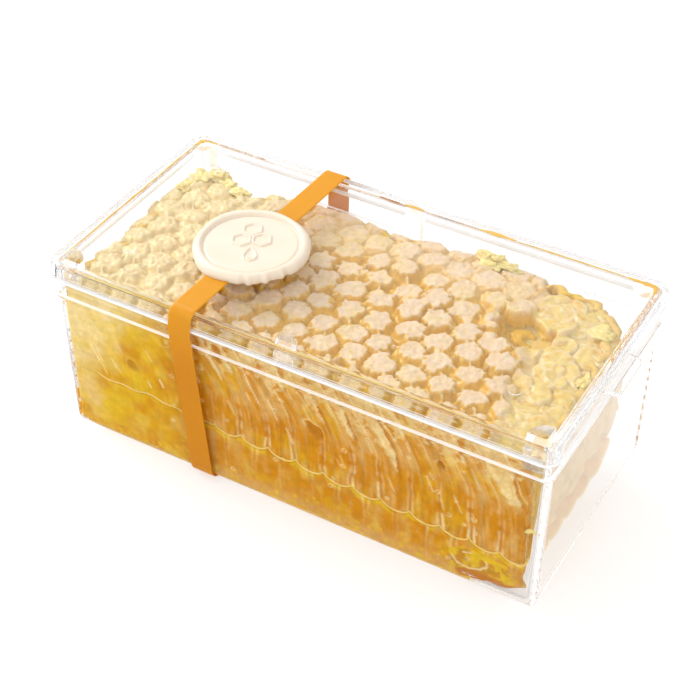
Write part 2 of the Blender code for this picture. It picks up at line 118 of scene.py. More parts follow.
# Close in front of the pack the table mirrors dark, so that the clear walls' edges stand out.
white_table, table_tree, table_shader = new_material("white_table")
table_place = add_node(table_tree, "TexCoord").outputs["Object"]
table_depth = add_node(table_tree, "SeparateXYZ", {0: table_place}).outputs["Y"]
mirrored = add_node(table_tree, "LightPath").outputs["Is Glossy Ray"]
dimming = add_node(
    table_tree, "Math", {0: span(table_tree, table_depth, -0.020, -0.034), 1: mirrored},
    operation="MULTIPLY").outputs["Value"]
feed(table_tree, table_shader, {
    "Base Color": tint(table_tree, (0.55, 0.55, 0.55), (0.10, 0.10, 0.10), dimming),
    "Emission Color": (1, 1, 1), "Emission Strength": span(table_tree, dimming, 0.0, 1.0, 0.52, 0.0),
    "Roughness": 0.9, "Specular IOR Level": 0.1})
table_mesh.materials.append(white_table)

room = bpy.data.worlds.new("white_room")
room.use_nodes = True
bpy.context.scene.world = room
direction = add_node(room.node_tree, "TexCoord").outputs["Generated"]
upward = add_node(room.node_tree, "SeparateXYZ", {0: direction}).outputs["Z"]
wall_tint = add_node(room.node_tree, "ValToRGB", {0: upward})
wall_stops = ((0.05, (0.60, 0.61, 0.63, 1)), (0.6, (1.0, 1.0, 1.0, 1)))
for stop, (position, colour) in zip(wall_tint.color_ramp.elements, wall_stops):
    stop.position = position
    stop.color = colour
room_light = room.node_tree.nodes["Background"]
feed(room.node_tree, room_light, {"Color": wall_tint.outputs["Color"], "Strength": 1.0})


def add_lamp(name, place, size, watts):
    """A square soft box at a place, turned towards the pack."""
    lamp = bpy.data.lights.new(name, "AREA")
    lamp.shape = "SQUARE"
    lamp.size = size
    lamp.energy = watts
    holder = add_object(name, lamp)
    start, end = (Vector(in_pack(point)) for point in (place, LAMP_AIM))
    holder.location = start
    holder.rotation_euler = (end - start).to_track_quat("-Z", "Y").to_euler()


add_lamp("key_lamp", (-520, 90, 430), size=0.34, watts=2.4)
add_lamp("front_lamp", (-60, -560, 300), size=0.5, watts=0.8)

camera_data = bpy.data.cameras.new("camera")
camera_data.lens = CAMERA_LENS
camera_data.sensor_width = 36.0
camera_data.clip_start = 0.01
camera = add_object("camera", camera_data)
camera.location = in_pack(CAMERA_PLACE)
camera.rotation_euler = (math.radians(CAMERA_TILT), 0, math.radians(CAMERA_TURN))
scene = bpy.context.scene
scene.camera = camera
scene.view_settings.view_transform = "Standard"
for rays in ("max", "transmission", "glossy", "transparent_max"):
    setattr(scene.cycles, rays + "_bounces", LIGHT_BOUNCES)


# Tray ------------------------------------------------------------------------------------------------
# An injection-moulded tray of clear polystyrene, glossy inside and out. Its thin walls lean out a
# little from a rounded foot to a small step near the top, where the lid's skirt sits.
BOX_LENGTH = 111.0
BOX_WIDTH = 55.5
BOX_HEIGHT = 44.3
CORNER_RADIUS = 3.0
TRAY_TOP = 42.5
RIM_OUTER = 1.5           # offsets run inwards from the lid's outer face
STEP_OUTER = 1.0
STEP_Z = 35.5
WALL = 1.2
DRAFT = 0.5
FOOT_RADIUS = 3.0
FLOOR_TOP = 1.0
WALL_INNER = RIM_OUTER + WALL
PLASTIC_IOR = 1.42


def add_piece(name, points, faces, material, marks=None, sharp=None):
    """A closed mesh in the pack's millimetres, with named values painted on its points."""
    mesh = bpy.data.meshes.new(name)
    mesh.from_pydata(in_pack(points).tolist(), [], faces)
    mesh.shade_smooth()
    if sharp is not None:
        mesh.set_sharp_from_angle(angle=math.radians(sharp))
    for mark, values in (marks or {}).items():
        painted = mesh.attributes.new(mark, "FLOAT", "POINT")
        painted.data.foreach_set("value", np.asarray(values, np.float32).ravel())
    mesh.materials.append(material)
    return add_object(name, mesh)


def arc(centre, radius, start, end, steps):
    angles = np.radians(np.linspace(start, end, steps + 1))
    return [(centre[0] + radius * math.cos(a), centre[1] + radius * math.sin(a)) for a in angles]


def box_loop(offset, steps=20):
    """The box's plan outline, the given distance inside the lid's outer face."""
    half_x = BOX_LENGTH / 2 - offset
    half_y = BOX_WIDTH / 2 - offset
    radius = max(CORNER_RADIUS - offset, 0.6)
    loop = []
    for quarter, (side_x, side_y) in enumerate([(1, 1), (-1, 1), (-1, -1), (1, -1)]):
        centre = (side_x * (half_x - radius), side_y * (half_y - radius))
        loop += arc(centre, radius, 90 * quarter, 90 * quarter + 90, steps)
    return loop


def skin(loops):
    """Points and faces of a closed body through outlines of equal length, one after the other."""
    loops = np.asarray(loops, float)
    index = np.arange(loops.shape[0] * loops.shape[1]).reshape(loops.shape[:2])
    ahead = np.roll(index, -1, axis=1)
    sides = np.stack([index[:-1], ahead[:-1], ahead[1:], index[1:]], -1).reshape(-1, 4)
    return loops.reshape(-1, 3), sides.tolist() + [index[0][::-1].tolist(), index[-1].tolist()]


def turned(points, faces, name, material, **extra):
    """A closed body with its faces turned outwards."""
    piece = add_piece(name, points, faces, material, **extra)
    bm = bmesh.new()
    bm.from_mesh(piece.data)
    bmesh.ops.recalc_face_normals(bm, faces=bm.faces)
    bm.to_mesh(piece.data)
    bm.free()
    return piece


def apply_modifiers(piece):
    bpy.context.view_layer.update()
    applied = bpy.data.meshes.new_from_object(piece.evaluated_get(bpy.context.evaluated_depsgraph_get()))
    piece.modifiers.clear()
    piece.data = applied


def flat_shaded_panes(piece):
    """Keeps flat panes optically flat: points on their borders take the pane's direction, not a mean."""
    weighted = piece.modifiers.new("flat_panes", "WEIGHTED_NORMAL")
    weighted.mode = "FACE_AREA"
    weighted.weight = 100
    weighted.keep_sharp = True
    apply_modifiers(piece)


def box_shell(profile):
    """Points and faces of a body that follows the box's outline, from its profile of offsets and heights."""
    return skin([[(x, y, z) for x, y in box_loop(offset)] for offset, z in profile])


def tray_profile():
    """From the underside out over the foot, up the wall and its step, over the rim and down to the floor."""
    foot = STEP_OUTER + DRAFT
    floor = WALL_INNER + DRAFT
    profile = arc((foot + FOOT_RADIUS, FOOT_RADIUS), FOOT_RADIUS, 270, 180, 12)
    profile += [(STEP_OUTER + 0.01, STEP_Z - 1.3), (STEP_OUTER - 0.04, STEP_Z - 1.0)]
    profile += arc((STEP_OUTER + 0.1, STEP_Z - 0.45), 0.45, 220, 95, 8)
    profile += [(RIM_OUTER - 0.05, STEP_Z - 0.02), (RIM_OUTER, STEP_Z + 0.15)]
    profile += arc((RIM_OUTER + 0.4, TRAY_TOP - 0.4), 0.4, 180, 90, 5)
    profile += arc((WALL_INNER - 0.4, TRAY_TOP - 0.4), 0.4, 90, 0, 5)
    return profile + arc((floor + 2.0, FLOOR_TOP + 2.0), 2.0, 180, 270, 10)


def noise(tree, scale, detail):
    """Fine noise fixed to the piece."""
    place = add_node(tree, "TexCoord").outputs["Object"]
    return add_node(tree, "TexNoise", {"Vector": place, "Scale": scale, "Detail": detail}).outputs["Fac"]


def bump(tree, shader, height, strength, distance):
    raised = add_node(tree, "Bump", {"Strength": strength, "Distance": distance, "Height": height})
    feed(tree, shader, {"Normal": raised.outputs["Normal"]})


def clear_plastic_material():
    """Clear moulded plastic. Lamps shine through it, its gloss is broken by faint scuffs, and painted shade
    greys it where it is seen edge-on.
    """
    material, tree, shader = new_material("clear_plastic")
    # Painted shade: the plastic is tinted grey where it is seen edge-on, so that its edges look darker.
    slant = add_node(tree, "LayerWeight", {"Blend": 0.5}).outputs["Facing"]
    feed(tree, shader, {
        "Base Color": tint(tree, (0.985, 0.988, 0.992), (0.55, 0.55, 0.59), span(tree, slant, 0.84, 1.0)),
        "Roughness": span(tree, noise(tree, 90.0, 6.0), 0.45, 0.75, 0.0, 0.06),
        "Transmission Weight": 1.0, "IOR": PLASTIC_IOR})
    bump(tree, shader, noise(tree, 35.0, 2.0), 0.02, 0.002)
    path = add_node(tree, "LightPath")
    clear = add_node(tree, "BsdfTransparent").outputs[0]
    surface = shader.outputs[0]
    for ray in ("Is Diffuse Ray", "Is Shadow Ray"):
        surface = add_node(tree, "MixShader", {0: path.outputs[ray], 1: surface, 2: clear}).outputs[0]
    feed(tree, tree.nodes["Material Output"], {"Surface": surface})
    return material


def highlight_plastic(name, clearness, roughness, painted_glow=0.0):
    """Whitened, less clear plastic as a painted highlight on a rounded edge or a narrow rib; its emission is
    a painted glow.
    """
    material, tree, shader = new_material(name)
    feed(tree, shader, {
        "Base Color": (0.97, 0.97, 0.98), "Roughness": roughness, "IOR": PLASTIC_IOR,
        "Transmission Weight": clearness, "Emission Color": (0.96, 0.97, 1.0), "Emission Strength": painted_glow})
    return material


def paint_highlight_band(piece, material, heights, offsets):
    """Gives the faces between two heights and two offsets from the lid's outer face a whitened plastic, as a
    painted highlight.
    """
    index = len(piece.data.materials)
    piece.data.materials.append(material)
    half = np.array([BOX_LENGTH / 2, BOX_WIDTH / 2])
    for face in piece.data.polygons:
        middle = (np.array(face.center) - PACK_ORIGIN) / MM
        offset = np.min(half - np.abs(middle[:2]))
        if heights[0] < middle[2] < heights[1] and offsets[0] < offset < offsets[1]:
            face.material_index = index


clear_plastic = clear_plastic_material()
# Whitened plastic for the painted highlight lines along edges.
highlight_edge = highlight_plastic("highlight_edge", 0.3, 0.3)
tray = turned(*box_shell(tray_profile()), "clear_tray", clear_plastic, sharp=50)
flat_shaded_panes(tray)
# Painted highlight: a whitened band along the step stands in for its highlight line.
paint_highlight_band(tray, highlight_edge, (STEP_Z - 0.22, STEP_Z + 0.05), (STEP_OUTER - 0.5, RIM_OUTER - 0.02))
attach(tray, "root")
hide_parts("tray")


# Lid -------------------------------------------------------------------------------------------------
# The lift-off lid, moulded of the same clear plastic: a plate with a rounded edge and a skirt, round
# ribs that hold it inside the tray, a thumb tab on the right end, and the rings its moulding pins left.
LID_EDGE = 1.6
PLATE_BOTTOM = BOX_HEIGHT - 1.5
SKIRT_BOTTOM = BOX_HEIGHT - 4.9
SKIRT_WALL = 1.2
SKIRT_STEP_Z = 40.6
LIP_HEIGHT = 0.8
RIB_HALF = 2.2
RIB_DEPTH = 1.9
RIB_BOTTOM = 35.0
FRONT_RIB_X = -0.8
POST_RADIUS = 3.8
SEAT_GAP = 0.3
SUNK = 0.5                # how far ribs and pin rings run into the plate
TAB_HALF = 6.0
TAB_TIP = BOX_LENGTH / 2 + 2.8
TAB_ROOT = TAB_TIP - 3.4
TAB_CORNER = 1.6
TAB_TOP = 42.0
PIN_RADIUS = 1.25
PIN_PLACES = [(x, y) for x in (-42.5, 42.5) for y in (-16.7, 16.7)]


def lid_profile():
    """From the top plate out over the rounded edge, down the skirt, round its lip and up to the plate."""
    profile = arc((LID_EDGE, BOX_HEIGHT - LID_EDGE), LID_EDGE, 90, 180, 12)
    profile += [(0.0, SKIRT_BOTTOM + LIP_HEIGHT)]
    profile += arc((0.3, SKIRT_BOTTOM + 0.3), 0.3, 180, 270, 5)
    profile += arc((SKIRT_WALL - 0.3, SKIRT_BOTTOM + 0.3), 0.3, 270, 360, 5)
    profile += [(SKIRT_WALL, SKIRT_BOTTOM + LIP_HEIGHT), (SKIRT_WALL, SKIRT_STEP_Z - 0.15)]
    profile += [(SKIRT_WALL + 0.1, SKIRT_STEP_Z)]
    return profile + arc((SKIRT_WALL + 0.6, PLATE_BOTTOM - 0.5), 0.5, 180, 90, 6)


def rib_outlines():
    """Plan outlines of the round ribs in the middle of both sides and in the four corners."""
    seat_x = BOX_LENGTH / 2 - WALL_INNER - SEAT_GAP
    seat_y = BOX_WIDTH / 2 - WALL_INNER - SEAT_GAP
    half_round = arc((0, 0), 1, 0, 180, 24)
    for side, middle in ((-1, FRONT_RIB_X), (1, 0.0)):
        yield [(middle + RIB_HALF * x, side * (seat_y - RIB_DEPTH * y)) for x, y in half_round]
    quarter = arc((0, 0), POST_RADIUS, 180, 270, 20) + arc((-0.6, -0.6), 0.6, 0, 90, 5)
    for side_x, side_y in itertools.product((-1, 1), repeat=2):
        yield [(side_x * (seat_x + x), side_y * (seat_y + y)) for x, y in quarter]


def rounded_post(outline, low, high, round_low=0.6, round_high=0.0):
    """Loops of a post whose ends are rounded over."""
    outline = np.array(outline)
    middle = outline.mean(0)
    reach = np.linalg.norm(outline - middle, axis=1).mean()
    loops = []
    for level, up, radius in ((low, 1, round_low), (high, -1, round_high)):
        steps = 6 if radius else 0
        ring = []
        for i in range(steps + 1):
            angle = math.pi / 2 * i / max(steps, 1)
            shrink = 1 - radius * (1 - math.sin(angle)) / reach
            z = level + up * radius * (1 - math.cos(angle))
            ring.append([(*p, z) for p in middle + (outline - middle) * shrink])
        loops += ring if up > 0 else ring[::-1]
    return loops


def join(body, others):
    """Makes one closed mesh of a body and the pieces moulded onto it."""
    material = body.data.materials[0]
    for other in others:
        union = body.modifiers.new("moulded_on", "BOOLEAN")
        union.operation = "UNION"
        union.solver = "EXACT"
        union.object = other
    apply_modifiers(body)
    body.data.materials.clear()
    body.data.materials.append(material)
    body.data.shade_smooth()
    body.data.set_sharp_from_angle(angle=math.radians(40))
    for other in others:
        bpy.data.objects.remove(other, do_unlink=True)


lid = turned(*box_shell(lid_profile()), "clear_lid", clear_plastic)
posts = [rounded_post(outline, RIB_BOTTOM, PLATE_BOTTOM + SUNK) for outline in rib_outlines()]
tab_outline = [(TAB_ROOT, -TAB_HALF)]
tab_outline += arc((TAB_TIP - TAB_CORNER, -TAB_HALF + TAB_CORNER), TAB_CORNER, -90, 0, 10)
tab_outline += arc((TAB_TIP - TAB_CORNER, TAB_HALF - TAB_CORNER), TAB_CORNER, 0, 90, 10)
tab_outline += [(TAB_ROOT, TAB_HALF)]
posts.append(rounded_post(tab_outline, TAB_TOP - 1.0, TAB_TOP, 0.3, 0.3))
for place in PIN_PLACES:
    pin = arc(place, PIN_RADIUS, 0, 345, 23)
    posts.append(rounded_post(pin, BOX_HEIGHT - SUNK, BOX_HEIGHT + 0.2, 0, 0.12))
join(lid, [turned(*skin(post), "fitting", clear_plastic) for post in posts])
flat_shaded_panes(lid)
# The ribs get whitened plastic with a weak white emission: a painted highlight and a painted glow.
glowing_highlight_rib = highlight_plastic("glowing_highlight_rib", 0.94, 0.15, 0.15)
# Painted highlights: whitened bands on the skirt's lip and on its step stand in for their highlight lines.
paint_highlight_band(lid, highlight_edge, (SKIRT_BOTTOM - 0.1, SKIRT_BOTTOM + LIP_HEIGHT), (-0.1, SKIRT_WALL + 0.05))
paint_highlight_band(lid, highlight_edge, (SKIRT_STEP_Z - 0.2, SKIRT_STEP_Z + 0.05), (SKIRT_WALL, SKIRT_WALL + 0.2))
paint_highlight_band(lid, glowing_highlight_rib, (RIB_BOTTOM - 0.1, PLATE_BOTTOM - 0.1), (SKIRT_WALL + 0.6, 9.0))
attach(lid, "root")
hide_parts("lid")


# Comb ------------------------------------------------------------------------------------------------
# One piece of capped comb cut with a knife along its front, where the cells stand open lengthwise
# against the tray's wall. Two layers of cells grow up and down from a thin midrib of wax.
CELL = 6.4
ROW = CELL * math.sqrt(3) / 2
COMB_TOP = 38.2
MIDRIB_LEFT_Z = 17.0
MIDRIB_RIGHT_Z = 11.0
SCALLOP_START = -18.2
EDGE_STEP = 0.1
FRONT_SPACING = 0.22
SIDE_SPACING = 0.4
UPPER_ROWS = 92
LOWER_ROWS = 46
COMB_OUTLINE = [
    (-53.0, -25.1), (50.9, -25.1), (51.9, -22.6), (52.0, -10.0), (52.0, 7.5), (50.8, 14.6),
    (45.0, 20.6), (38.0, 22.8), (24.0, 22.6), (12.0, 22.8), (-3.0, 21.2), (-16.0, 22.0),
    (-29.0, 21.4), (-33.0, 20.0), (-35.0, 17.4), (-41.0, 18.4), (-46.5, 21.2), (-51.0, 19.4),
    (-52.0, 8.0), (-51.6, -4.0), (-52.4, -14.0), (-53.0, -22.6),
]
# Strips of torn capping that hang over the cut front face: middle, half width and low end, measured
# along the leaning cells.
HANGING_WAX = [
    (-13.2, 0.5, 29.5), (-9.6, 0.9, 31.0), (-3.0, 1.8, 33.6), (3.2, 0.9, 31.5), (9.0, 1.0, 27.0),
    (15.4, 1.2, 25.4), (23.4, 1.5, 22.0), (28.6, 0.9, 31.6), (34.0, 1.0, 32.0),
    (41.0, 0.8, 31.0), (48.8, 3.0, 24.6),
]
# Cells that the knife left hollow: x, z, half width, half height.
HOLLOW_CELLS = [
    (5.6, 24.6, 1.7, 2.2), (32.8, 28.4, 0.8, 0.9), (-37.5, 22.7, 1.0, 1.3), (-16.4, 34.6, 1.1, 1.7),
]
# A curl of wax on the yellow lump at the lower right.
CURL = [
    (35.8, 6.2), (37.2, 4.6), (39.6, 4.3), (42.0, 5.2), (43.6, 7.0), (42.6, 8.6), (40.4, 9.0), (38.4, 8.2),
]
BUBBLES = 40
SCRATCHES = 34


def lattice_noise(x, y, z, size, seed):
    """Smooth bumps of about the given size, between -1 and 1, the same on every run."""
    table = np.random.default_rng(seed).uniform(-1, 1, (16, 16, 16))
    spots = [np.asarray(v, float) / size + 3.7 * seed for v in np.broadcast_arrays(x, y, z)]
    cells = [np.floor(spot).astype(int) for spot in spots]
    shares = [spot - cell for spot, cell in zip(spots, cells)]
    shares = [share * share * (3 - 2 * share) for share in shares]
    total = 0
    for corner in itertools.product((0, 1), repeat=3):
        weight = 1
        for share, side in zip(shares, corner):
            weight = weight * (share if side else 1 - share)
        total = total + weight * table[tuple((cell + side) % 16 for cell, side in zip(cells, corner))]
    return total


def ramp(value, low, high):
    """Rises smoothly from 0 at low to 1 at high; low may be the greater."""
    share = np.clip((value - low) / (high - low), 0, 1)
    return share * share * (3 - 2 * share)


def bell(value, width):
    """1 where the value is 0, fading out within about the width on both sides."""
    return np.exp(-((value / width) ** 2))


def stroke(x, y, points, width):
    """Strength of a rounded line through the points, 1 along its middle."""
    best = np.full(np.shape(x), 1e9)
    for (x0, y0), (x1, y1) in zip(points, points[1:]):
        length = max((x1 - x0) ** 2 + (y1 - y0) ** 2, 1e-9)
        share = np.clip(((x - x0) * (x1 - x0) + (y - y0) * (y1 - y0)) / length, 0, 1)
        best = np.minimum(best, np.hypot(x - x0 - share * (x1 - x0), y - y0 - share * (y1 - y0)))
    return ramp(best, width, width * 0.25)


def comb_edge():
    """The comb's outline as points, outward directions, and a coordinate that is x along the front."""
    corners = np.array(COMB_OUTLINE + COMB_OUTLINE[:1])
    lengths = np.concatenate([[0], np.cumsum(np.linalg.norm(np.diff(corners, axis=0), axis=1))])
    fine = np.arange(0, lengths[-1], EDGE_STEP)
    line = np.stack([np.interp(fine, lengths, corners[:, i]) for i in (0, 1)], 1)
    reach = np.arange(-20, 21)
    weights = np.exp(-(reach / 7.0) ** 2)
    weights /= weights.sum()
    line = sum(w * np.roll(line, r, axis=0) for w, r in zip(weights, reach))
    ahead = np.roll(line, -3, axis=0) - np.roll(line, 3, axis=0)
    out = np.stack([ahead[:, 1], -ahead[:, 0]], 1) / np.linalg.norm(ahead, axis=1)[:, None]
    front = line[:, 1] < -24.0
    keep = []
    since = 1.0
    for i, is_front in enumerate(front):
        since += EDGE_STEP
        if since >= (FRONT_SPACING if is_front else SIDE_SPACING) - 1e-9:
            keep.append(i)
            since = 0.0
    return line[keep], out[keep], fine[keep] + COMB_OUTLINE[0][0], front[keep]


EDGE_LINE, EDGE_OUT, EDGE_ALONG, EDGE_FRONT = comb_edge()
MIDRIB_PLANE = MIDRIB_LEFT_Z + (MIDRIB_RIGHT_Z - MIDRIB_LEFT_Z) * (EDGE_LINE[:, 0] / BOX_LENGTH + 0.5)


def midrib_line():
    """Height of the midrib round the comb: smooth at the left, then a round cell bottom for every cell."""
    across = ((EDGE_ALONG - SCALLOP_START) / CELL) % 1.0 * 2 - 1
    scallop = -0.8 + 2.3 * (1 - np.sqrt(1 - (0.95 * across) ** 2))
    smooth = 0.35 * np.sin(EDGE_ALONG / 3.0) + 0.25 * np.sin(EDGE_ALONG / 1.1 + 1)
    crisp = ramp(EDGE_ALONG, SCALLOP_START - 0.4, SCALLOP_START + 0.4) * ramp(EDGE_ALONG, 230, 220)
    return MIDRIB_PLANE + crisp * scallop + (1 - crisp) * smooth


MIDRIB_LINE = midrib_line()


def side_places(along, x, z, hang, upper):
    """Where each place on a layer's side lies among its leaning cells, and the noises that roughen it."""
    def bumps(plane, size, seed):
        return lattice_noise(along, z, plane, size, seed)

    def drawn_out(across_share, height_share, seed):
        return lattice_noise(skewed * across_share, z * height_share, 2, 1.0, seed)

    front = EDGE_FRONT[:, None] * 1.0
    broken = 1 - front
    lean = 0.577 * 1.3 * np.log1p(np.exp((z - 25) / 1.3)) * front
    wander = 0.5 * bumps(0, 7, 3) + 0.22 * bumps(0, 2.2, 4)
    wander = wander + broken * (1.8 * bumps(0, 5.5, 22) + 0.9 * bumps(0, 2.0, 23))
    skewed = along + lean + wander
    phase = (skewed - SCALLOP_START) / CELL + (0 if upper else 0.5)
    cell = np.floor(phase)
    dice = np.random.default_rng(11).uniform(0, 1, 80)
    streak = drawn_out(2.2, 0.28, 7) + 0.2 * drawn_out(4.5, 0.5, 17)
    if not upper:
        streak = 0.3 * streak + 0.5 * drawn_out(0.8, 0.5, 24)
    rough, grit = bumps(1, 1.6, 5), bumps(1, 0.55, 15)
    return SimpleNamespace(
        along=along, x=x, z=z, hang=hang, upper=upper, front=front, broken=broken, skewed=skewed,
        across=(phase - cell) * 2 - 1, crisp=np.where(front > 0, ramp(along, -19.5, -16.5), 1.0),
        own=dice[cell.astype(int) % 80], wall_own=dice[(np.floor(phase + 0.5).astype(int) + 31) % 80],
        rough=rough, grit=grit, coarse=bumps(1, 6.0, 6), middling=bumps(2, 3.0, 16),
        streak=streak * (1 - 0.55 * front * ramp(along, -16, -30)), cloud=drawn_out(0.55, 0.28, 25),
        torn=0.55 * rough + 0.3 * bumps(3, 0.8, 8) + 0.25 * grit, bumps=bumps)


def lay(marks, mark, share):
    """Paints a mark wherever its share is stronger than what is there."""
    marks[mark] = np.maximum(marks[mark], share)


def wipe(marks, share, *names):
    for name in names:
        marks[name] = marks[name] * (1 - share)


def opened_cells(at):
    """Marks of the cut cells: thin wax walls a little off each other, with dark honey in between."""
    edge, away = np.abs(at.across), np.abs(at.z - at.hang)
    legs = 0.86 - 0.05 * np.exp(-away / 2.5)
    height_fade = np.exp(-away / (7.5 if at.upper else 3.0))
    wall_line = bell(edge - legs, 0.085) * (0.12 + 0.88 * height_fade) * (0.4 + 0.6 * at.own)
    wall_line = wall_line * ramp(at.rough + 0.5, -0.3, 0.3)
    gap_width = 0.08 + 0.30 * at.wall_own * bell(away - 6.5, 3.0)
    gap = ramp(edge, 1 - gap_width - 0.05, 1 - gap_width + 0.03) * (0.25 + 0.75 * ramp(away, 11, 7))
    wax = 0.24 * bell(at.across + 0.25, 0.4) * ramp(at.coarse + 0.5 * at.streak, -0.5, 0.9)
    wax = wax + 0.14 * ramp(at.streak, 0.1, 0.9)
    layer_share = 1.0 if at.upper else 0.25
    depth = 0.22 * (1 - edge ** 2) * (at.own - 0.4) + 0.12 * gap * at.crisp * layer_share
    return {
        "wax": wax + 0.24 * ramp(at.cloud + 0.2 * at.grit + 0.25 * at.streak, -0.1, 0.9) * at.front,
        "lemon": 0.35 * ramp(-at.coarse + 0.4 * at.rough, 0.1, 0.7),
        "deep": 0.5 * gap * at.crisp * layer_share + 0.4 * ramp(-at.streak - 0.3 * at.coarse, 0.15, 0.9),
        "line": wall_line * at.crisp * (0.4 + 0.6 * layer_share),
        "depth": depth + 0.07 * at.streak + 0.05 * at.grit,
    }


def draw_veils(at, marks):
    """Every cell's wall carries a veil of wax, thicker towards the cappings, with a painted shadow of dark
    honey colour after it.
    """
    across, torn = at.across, at.torn
    reach_up = ramp(at.z + 6 * (at.own - 0.5) + 1.5 * at.rough, 23, 36) * at.front * at.crisp
    veil = ramp(across + 0.25 * torn, 0.1 - 0.9 * reach_up, 0.9) * ramp(across + 0.05 * torn, 0.98, 0.9)
    lay(marks, "wax", veil * reach_up * (0.5 + 0.25 * at.rough + 0.2 * at.grit + 0.2 * at.streak))
    wall_edge = bell(across + 0.04 * torn - 0.9, 0.06) * ramp(reach_up, 0.02, 0.3)
    lay(marks, "line", (0.3 + 0.5 * at.wall_own) * wall_edge)
    # Painted shadow: dark honey colour just after each veil, where the veil would shade the cell.
    after = ramp(across, -1.0, -0.92) * ramp(across, -0.45 - 0.3 * at.own, -0.85) * reach_up
    lay(marks, "deep", 0.6 * after * (0.6 + 0.4 * at.wall_own))
    wipe(marks, 0.8 * after, "wax")


def hang_torn_wax(at, marks):
    """Strips of torn capping, each with a pale rim and a shadow on its right, and crumbs of wax."""
    z, front, rough, grit, torn = at.z, at.front, at.rough, at.grit, at.torn
    for middle, half, low in HANGING_WAX:
        aside = at.skewed - middle
        narrow = half * (0.45 + 0.55 * ramp(z, low, 36))
        strip = ramp(narrow - aside + 0.7 * torn, -0.12, 0.15) * ramp(aside + narrow + 0.9 * torn, -0.9, 0.9)
        strip = strip * ramp(z + 1.5 * torn, low - 0.4, low + 2.5) * front
        shade = ramp(aside, narrow + 1.3, narrow + 0.1) * ramp(aside, narrow - 0.3, narrow + 0.2) * front
        wipe(marks, strip, *marks)
        lay(marks, "wax", strip * (0.7 + 0.28 * rough + 0.25 * grit + 0.2 * at.streak))
        lay(marks, "line", 0.55 * strip * ramp(aside, narrow - 0.55, narrow - 0.1))
        lay(marks, "deep", 0.7 * shade * ramp(z, low, low + 1.5))
        marks["depth"] = marks["depth"] - 0.05 * strip + 0.35 * shade
    crumbs = ramp(at.bumps(3, 1.2, 18) + 0.4 * grit + 0.14 * (z - 32.6), 0.25, 0.5) * front
    top = ramp(z + 0.5 * rough, 36.6, 37.1)
    lay(marks, "wax", crumbs * (0.6 + 0.3 * grit))
    lay(marks, "wax", top * (0.6 + 0.35 * ramp(rough, -0.4, 0.4)))
    wipe(marks, 0.8 * crumbs, "deep")
    wipe(marks, top, "deep")


def settle_honey(at, marks):
    """The lower layer is cloudy honey, lighter at its foot, with flecks of yellow wax under the midrib."""
    z, front, rough = at.z, at.front, at.rough
    foot_light = ramp(z + 0.6 * rough, 6.5, 2.5) * front * ramp(at.along, -20, -16)
    lay(marks, "wax", 0.3 * foot_light)
    wipe(marks, foot_light, "lemon")
    lay(marks, "lemon", front * 0.45 * ramp(at.cloud + 0.3 * at.grit, 0.0, 0.9) * at.crisp)
    lay(marks, "lemon", 0.8 * ramp(at.bumps(4, 0.9, 26) + 0.1 * (6 - z), 0.5, 0.75) * front)
    lay(marks, "lemon", 0.8 * bell(at.hang - z - 0.9, 0.7) * front * ramp(rough, -0.4, 0.3))


def add_yellow_lump(at, marks):
    """A lump of yellow wax at the lower right with a curl on it, and honey that drips from its foot."""
    along, z, front, rough, grit = at.along, at.z, at.front, at.rough, at.grit
    from_lump = np.hypot((along - 41.5) / 7.6, (z - 5.6) / 4.2) + 0.22 * rough + 0.1 * grit
    lump = ramp(from_lump, 1.03, 0.93) * front
    drip = ramp(np.hypot((along - 43) / 6.5, (z - 2.8) / 1.6) + 0.3 * rough, 1.1, 0.8) * front
    curl = stroke(along + 0.3 * grit, z + 0.3 * rough, CURL, 0.38) * front
    wipe(marks, lump, *marks)
    lay(marks, "lemon", 0.9 * lump)
    wipe(marks, 0.8 * drip, "lemon")
    lay(marks, "deep", 0.7 * lump * ramp(rough + 0.6 * grit, 0.1, 0.5))
    lay(marks, "deep", 0.9 * drip)
    lay(marks, "line", 0.6 * curl * ramp(rough, -0.6, 0.2))
    marks["wax"] = marks["wax"] + 0.3 * lump * ramp(-rough, 0.0, 0.5)
    marks["depth"] = marks["depth"] + lump * (0.2 + 0.25 * rough) - 0.15 * curl


def open_bubbles(at, marks):
    """Small bubbles in the honey, and the cells that the knife left hollow, painted darker inside as painted
    shade.
    """
    along, z, front = at.along, at.z, at.front
    dice = np.random.default_rng(15)
    for _ in range(BUBBLES):
        spot = dice.uniform(-48, 49), dice.uniform(4, 34)
        size = dice.uniform(0.22, 0.5)
        lay(marks, "line", 0.6 * bell(np.hypot(along - spot[0], z - spot[1]) - size, 0.12) * front)
    for hole_x, hole_z, half_x, half_z in HOLLOW_CELLS:
        rise = z - hole_z
        from_hole = np.hypot((along - hole_x + 0.3 * rise) / half_x, rise / half_z) + 0.3 * at.rough
        inside = ramp(from_hole, 1.1, 0.75) * front
        # Painted shade: each hollow is coloured dark honey inside.
        wipe(marks, inside, "wax", "deep", "line")
        lay(marks, "deep", 0.5 * inside)
        lay(marks, "line", 0.4 * bell(from_hole - 1.2, 0.13) * front * ramp(z, hole_z - 0.3, hole_z + 0.8))
        marks["depth"] = marks["depth"] + 0.7 * inside


